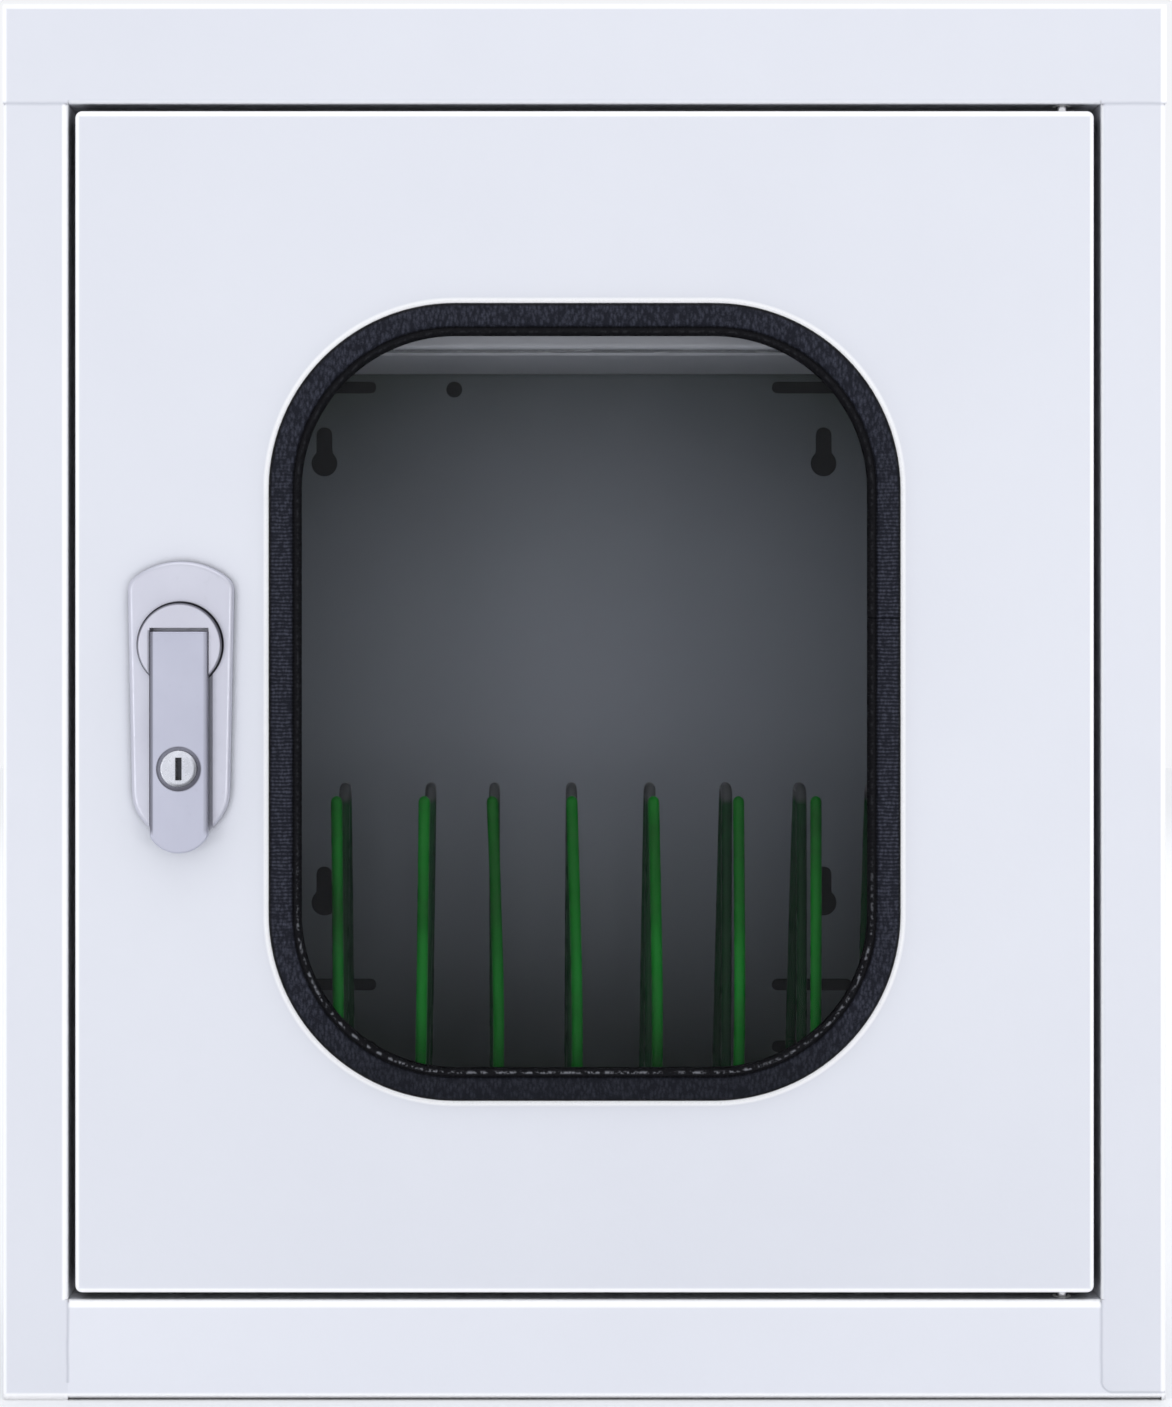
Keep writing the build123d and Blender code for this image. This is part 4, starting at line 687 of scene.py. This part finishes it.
def frame_path(low, high, radius, corner_steps, run_steps):
    """Stations round a rounded rectangle in XZ: (x, z, inward x, inward z)."""
    stations = []
    centres = (
        (high[0] - radius, high[2] - radius, 0),
        (low[0] + radius, high[2] - radius, 90),
        (low[0] + radius, low[2] + radius, 180),
        (high[0] - radius, low[2] + radius, 270),
    )
    for cx, cz, start in centres:
        for step in range(corner_steps + 1):
            turn = math.radians(start + 90.0 * step / corner_steps)
            out_x, out_z = math.cos(turn), math.sin(turn)
            stations.append((cx + radius * out_x, cz + radius * out_z, -out_x, -out_z))
    filled = []
    for here, there in zip(stations, stations[1:] + stations[:1]):
        filled.append(here)
        gap = math.hypot(there[0] - here[0], there[1] - here[1])
        if gap > 20 * MM:
            for step in range(1, run_steps):
                share = step / run_steps
                filled.append(tuple(a + (b - a) * share for a, b in zip(here, there)))
    return filled


# ------------------------------------------------------------------ window rubber
SEAL_JOINT_Z = 0.336  # height of the butt joint in the rubber's right-hand run
JOINT_HALF = 0.35 * MM
JOINT_SINK = 0.72  # share of its height that the rubber keeps within the joint


def seal_section():
    """Section of the glazing rubber: (inset from the outer edge, height over the door face)."""
    lip = [(0.0, 0.2), (0.25, 1.3), (0.9, 2.3), (1.9, 2.95), (3.2, 3.25), (5.0, 3.38)]
    lip += [(6.8, 3.36), (8.4, 3.15), (9.5, 2.75), (10.1, 2.2), (10.35, 1.75)]
    filler = [(10.6, 1.75), (10.85, 2.3), (11.4, 2.75), (12.2, 2.85), (12.9, 2.6)]
    filler += [(13.4, 2.0), (13.9, 1.3)]
    inside = [(14.0, 1.2), (9.5, 1.2), (9.5, -2.8), (13.9, -2.8), (14.0, -3.2), (13.2, -4.4)]
    back = [(11.5, -4.8), (2.5, -4.8), (0.8, -4.3), (0.0, -2.6), (0.0, -1.2), (7.0, -1.2)]
    back += [(7.0, 0.0), (0.0, 0.0)]
    return [(inset * MM, height * MM) for inset, height in lip + filler + inside + back]


def window_rubber():
    """The section swept round the window, with the butt joint of its two ends on the right."""
    stations = frame_path(seal_low, seal_high, SEAL_RADIUS, 28, 12)
    right = seal_high[0] - 1.0 * MM
    marks = [SEAL_JOINT_Z + k * JOINT_HALF for k in (-2.0, -1.0, -0.4, 0.4, 1.0, 2.0)]
    joint = [(seal_high[0], z, -1.0, 0.0) for z in marks]
    clear = 3 * JOINT_HALF
    stations = [s for s in stations if s[0] <= right or abs(s[1] - SEAL_JOINT_Z) >= clear]
    first_low = max(i for i, s in enumerate(stations) if s[0] > right and s[1] < SEAL_JOINT_Z)
    stations[first_low + 1:first_low + 1] = joint
    section = seal_section()
    rings = []
    for x, z, in_x, in_z in stations:
        on_joint = in_x < -0.99 and abs(z - SEAL_JOINT_Z) < 0.5 * JOINT_HALF
        ring = []
        for inset, height in section:
            raised = height * (JOINT_SINK if on_joint and height > 0 else 1.0)
            ring.append((x + in_x * inset, FACE_Y - raised, z + in_z * inset))
        rings.append(ring)
    mesh = grid_mesh("window_rubber", rings)
    piece("window_rubber", mesh, "door", "seal_rubber", ("window_seal",), smooth_angle=50.0)


window_rubber()


# ------------------------------------------------------------------ door gasket
def bulb_gasket():
    """Bulb seal: a flat foot with a round bead on it, turned tightly at the corners."""
    width, bead = 9.0 * MM, 3.6 * MM
    foot = gasket_low[1]
    chamfer, shoulder, foot_top = 0.7 * MM, foot + 1.6 * MM, foot + 2.2 * MM
    middle = gasket_high[1] - bead
    section = [(0.0, foot), (0.0, shoulder), (chamfer, foot_top)]
    for step in range(13):
        turn = math.radians(-30 + 240 * step / 12)
        section.append((width / 2 - bead * math.cos(turn), middle + bead * math.sin(turn)))
    section += [(width - chamfer, foot_top), (width, shoulder), (width, foot)]
    rings = [
        [(x + in_x * inset, y, z + in_z * inset) for inset, y in section]
        for x, z, in_x, in_z in frame_path(gasket_low, gasket_high, 1.5 * MM, 5, 30)
    ]
    mesh = grid_mesh("bulb_gasket", rings)
    piece("bulb_gasket", mesh, "door", "gasket_rubber", ("door_gasket",), smooth_angle=45.0)


bulb_gasket()


# ------------------------------------------------------------------ tool rack
def wire_mesh(name, routes, radius):
    """Round wires along smooth routes; each point is (x, y, z, thickness)."""
    data = bpy.data.curves.new(name, "CURVE")
    data.dimensions = "3D"
    data.bevel_depth = radius
    data.bevel_resolution = 5
    data.use_fill_caps = True
    data.resolution_u = 8
    for route in routes:
        spline = data.splines.new("NURBS")
        spline.points.add(len(route) - 1)
        for point, (x, y, z, thickness) in zip(spline.points, route):
            point.co = (x, y, z, 1.0)
            point.radius = thickness
        spline.order_u = 3
        spline.use_endpoint_u = True
    holder = place_object(name, data)
    evaluated = holder.evaluated_get(bpy.context.evaluated_depsgraph_get())
    mesh = bpy.data.meshes.new_from_object(evaluated)
    mesh.name = name
    bpy.data.objects.remove(holder)
    return mesh


RACK_COUNT = 9
WIRE = 2.5 * MM
ROD = 3.0 * MM
WELD_SINK = 1.2 * MM  # how far a wire's end is melted into the rail below it
rack_foot = upright_low[2]
rack_x = [
    upright_low[0] + WIRE + (upright_high[0] - upright_low[0] - 2 * WIRE) * i / (RACK_COUNT - 1)
    for i in range(RACK_COUNT)
]
# sideways lean of each front wire in mm at two heights, and of each hairpin's crown
LEAN_Z = (0.167, 0.233)
UPRIGHT_LEAN = (
    (0.0, 0.0),
    (1.0, 0.4),
    (2.8, 3.6),
    (2.1, -0.3),
    (1.7, -0.3),
    (2.1, 0.6),
    (3.4, 2.8),
    (1.9, 1.8),
    (1.5, 1.5),
)
ARCH_SWAY = (0.9, -0.5, 4.6, -0.5, 0.6, 2.3, 3.0, 2.7, 1.6)


def lean_at(index, z):
    """Sideways lean of a hand-set wire: nothing at the weld, then by its two measured offsets."""
    middle, tip = (offset * MM for offset in UPRIGHT_LEAN[index])
    low, high = LEAN_Z
    if z < low:
        return middle * max(0.0, z - rack_foot) / (low - rack_foot)
    return middle + (tip - middle) * (z - low) / (high - low)


def rack_piece(name, routes, radius, replaced, material=None):
    mesh = wire_mesh(name, routes, radius)
    piece(name, mesh, "cabinet", "green_coating", (replaced,), material)


def front_wires():
    """Upright wires with rounded free tips, each leaning a little its own way."""
    top = upright_high[2]
    y = (upright_low[1] + upright_high[1]) / 2
    profile = [(rack_foot - WELD_SINK, 1.15), (rack_foot + 6 * MM, 1.0)]
    profile += [(0.06, 1.0), (0.11, 1.02), (0.16, 1.0), (0.21, 1.0)]
    profile += [(top - 6 * MM, 1.02), (top - 2.5 * MM, 1.05), (top - 0.8 * MM, 0.85), (top, 0.25)]
    routes = [[(x + lean_at(i, z), y, z, w) for z, w in profile] for i, x in enumerate(rack_x)]
    rack_piece("rack_front_wires", routes, WIRE, "rack_uprights")


def hairpin_leg(foot_y, shoulder_y, crown_z, inset):
    """One leg of a hairpin from its weld up to its shoulder: (y, z, thickness)."""
    rise = crown_z - rack_foot
    leg = [(foot_y, rack_foot - WELD_SINK, 1.12), (foot_y + inset, rack_foot + 8 * MM, 1.0)]
    for share in (0.35, 0.6, 0.85):
        leg.append((foot_y + (shoulder_y - foot_y) * share, rack_foot + rise * share, 1.0))
    return leg


def hairpins():
    """Hairpins behind the front wires, bent over front to back, each swaying a little."""
    foot_front, foot_rear = arch_low[1] + WIRE, arch_high[1] - WIRE
    crown_z = arch_high[2] - WIRE
    crown_y, reach = 12.0 * MM, 9.0 * MM
    climb = hairpin_leg(foot_front, crown_y - reach, crown_z, 0.8 * MM)
    drop = hairpin_leg(foot_rear, crown_y + reach, crown_z, -0.8 * MM)
    bend = [(-0.95, -5.0), (-0.75, 0.0), (0.0, 0.6), (0.75, 0.0), (0.95, -5.0)]
    over = [(crown_y + reach * share, crown_z + rise * MM, 1.0) for share, rise in bend]
    route = climb + over + drop[::-1]
    routes = [
        [(x + sway * MM * z / crown_z, y, z, w) for y, z, w in route]
        for x, sway in zip(rack_x, ARCH_SWAY)
    ]
    rack_piece("rack_hairpins", routes, WIRE, "rack_arches", shaded_hairpin_green)


def cut_rod(start, end, middles):
    """(place, thickness) along a rod with rounded ends, a little swollen by each cut."""
    rounded = [(0.0, 0.35), (0.9 * MM, 0.9), (3.0 * MM, 1.03)]
    points = [(start + inset, width) for inset, width in rounded]
    points += [(place, 1.0) for place in middles]
    return points + [(end - inset, width) for inset, width in reversed(rounded)]


def base_rods():
    """Rails along the rack's width, on runners across it."""
    profile = cut_rod(rail_low[0], rail_high[0], (-0.08, 0.0, 0.08))
    z = (rail_low[2] + rail_high[2]) / 2
    places = (rail_low[1] + ROD, arch_low[1] + WIRE, rail_high[1] - ROD)
    rails = [[(x, y, z, w) for x, w in profile] for y in places]
    rack_piece("rack_rail_wires", rails, ROD, "rack_rails")

    profile = cut_rod(runner_low[1], runner_high[1], (0.0,))
    z = (runner_low[2] + runner_high[2]) / 2
    span = (runner_high[0] - runner_low[0] - 2 * ROD) / 2
    places = [runner_low[0] + ROD + k * span for k in range(3)]
    runners = [[(x, y, z, w) for y, w in profile] for x in places]
    rack_piece("rack_runner_wires", runners, ROD, "rack_runners")


front_wires()
hairpins()
base_rods()


# ------------------------------------------------------------------ stage, camera and lights
def flat_object(name, points, faces, material):
    mesh = bpy.data.meshes.new(name)
    mesh.from_pydata(points, [], faces)
    mesh.materials.append(material)
    return place_object(name, mesh)


def studio_floor():
    half = 4.0
    pale = Shader("studio_floor")
    pale.color(pale.noise(3.0), (0.91, 0.92, 0.93), (0.94, 0.95, 0.96))
    pale.roughness(pale.noise(20.0), 0.55, 0.65)
    corners = [(-half, -half, 0), (half, -half, 0), (half, half, 0), (-half, half, 0)]
    floor = flat_object("studio_floor", corners, [(0, 1, 2, 3)], pale.material)


def slot_outline(cx, cz, half_x, half_z, steps=8):
    """Rounded-end outline in XZ, with its ends on the longer axis."""
    radius = min(half_x, half_z)
    points = []
    for corner_x, corner_z, start in ((1, 1, 0), (-1, 1, 90), (-1, -1, 180), (1, -1, 270)):
        for step in range(steps + 1):
            turn = math.radians(start + 90.0 * step / steps)
            x = cx + corner_x * (half_x - radius) + radius * math.cos(turn)
            z = cz + corner_z * (half_z - radius) + radius * math.sin(turn)
            points.append((x, z))
    return points


# the rear sheet's openings: (x, z, half width, half height); slots and keyholes are on both sides
VENT_SLOTS = [(0.119, z, 0.020, 0.003) for z in (0.119, 0.150, 0.449, 0.481)]
KEYHOLES = [
    (0.125, z + rise, half_x, half_z)
    for z in (0.191, 0.411)
    for rise, half_x, half_z in ((0.0, 0.0065, 0.0065), (0.009, 0.004, 0.0091))
]
CABLE_HOLE = (-0.060, 0.448, 0.004, 0.004)


def shade_card():
    """Black card in the rear sheet's openings, standing in for shade so that the pale floor
    doesn't shine through.
    """
    spare, step_back = 0.4 * MM, 0.02 * MM
    openings = [
        (side * x, z, half_x, half_z)
        for side in (-1, 1)
        for x, z, half_x, half_z in VENT_SLOTS + KEYHOLES
    ]
    points, faces = [], []
    for layer, (x, z, half_x, half_z) in enumerate(openings + [CABLE_HOLE]):
        outline = slot_outline(x, z, half_x + spare, half_z + spare)
        y = INNER_Y + layer % 3 * step_back
        faces.append(tuple(range(len(points), len(points) + len(outline))))
        points += [(x, y, z) for x, z in outline]
    black = Shader("shade_card", Roughness=0.9)
    black.color(black.noise(40.0), (0.004, 0.004, 0.005), (0.007, 0.007, 0.008))
    card = flat_object("shade_card", points, faces, black.material)


def area_light(name, place, aim, size, power, tint=(1.0, 1.0, 1.0)):
    data = bpy.data.lights.new(name, "AREA")
    data.shape = "RECTANGLE"
    data.size, data.size_y = size
    data.energy = power
    data.color = tint
    lamp = place_object(name, data)
    lamp.location = place
    lamp.rotation_euler = (Vector(aim) - Vector(place)).to_track_quat("-Z", "Y").to_euler()


def studio():
    world = bpy.data.worlds.new("studio")
    bpy.context.scene.world = world
    world.use_nodes = True
    backdrop = world.node_tree.nodes["Background"]
    backdrop.inputs["Color"].default_value = (0.96, 0.97, 1.0, 1)
    backdrop.inputs["Strength"].default_value = 0.95
    for name, x, tint in (("right", 1.15, (1.0, 0.99, 0.98)), ("left", -1.15, (0.97, 0.98, 1.0))):
        area_light("front_" + name, (x, -2.1, 0.15), (0.0, 0.1, 0.15), (0.7, 0.3), 3.5, tint)
    area_light("overhead", (0.0, -0.75, 1.9), (0.0, -0.74, 0.0), (1.8, 0.8), 4.5)
    area_light("rear", (0.3, 2.2, 1.6), (0.0, 0.1, 0.3), (1.6, 1.2), 9.0)


def camera():
    """Straight-on view from 1.2 m in front of the door, a little left of centre and above it."""
    distance = 1.2
    view_height = 0.6044
    sensor = 36.0
    place = Vector((-0.032, shell_high[1] - 0.2 - distance, 0.351))
    centre = Vector((0.0006, 0.0, 0.2993))
    data = bpy.data.cameras.new("photo_view")
    data.sensor_fit = "VERTICAL"
    data.sensor_height = sensor
    data.lens = sensor * distance / view_height
    data.shift_x = (centre.x - place.x) / view_height
    data.shift_y = (centre.z - place.z) / view_height
    viewer = place_object("photo_view", data)
    viewer.location = place
    viewer.rotation_euler = (math.pi / 2, 0, 0)
    bpy.context.scene.camera = viewer


studio_floor()
shade_card()
studio()
camera()
bpy.context.scene.view_settings.view_transform = "Standard"
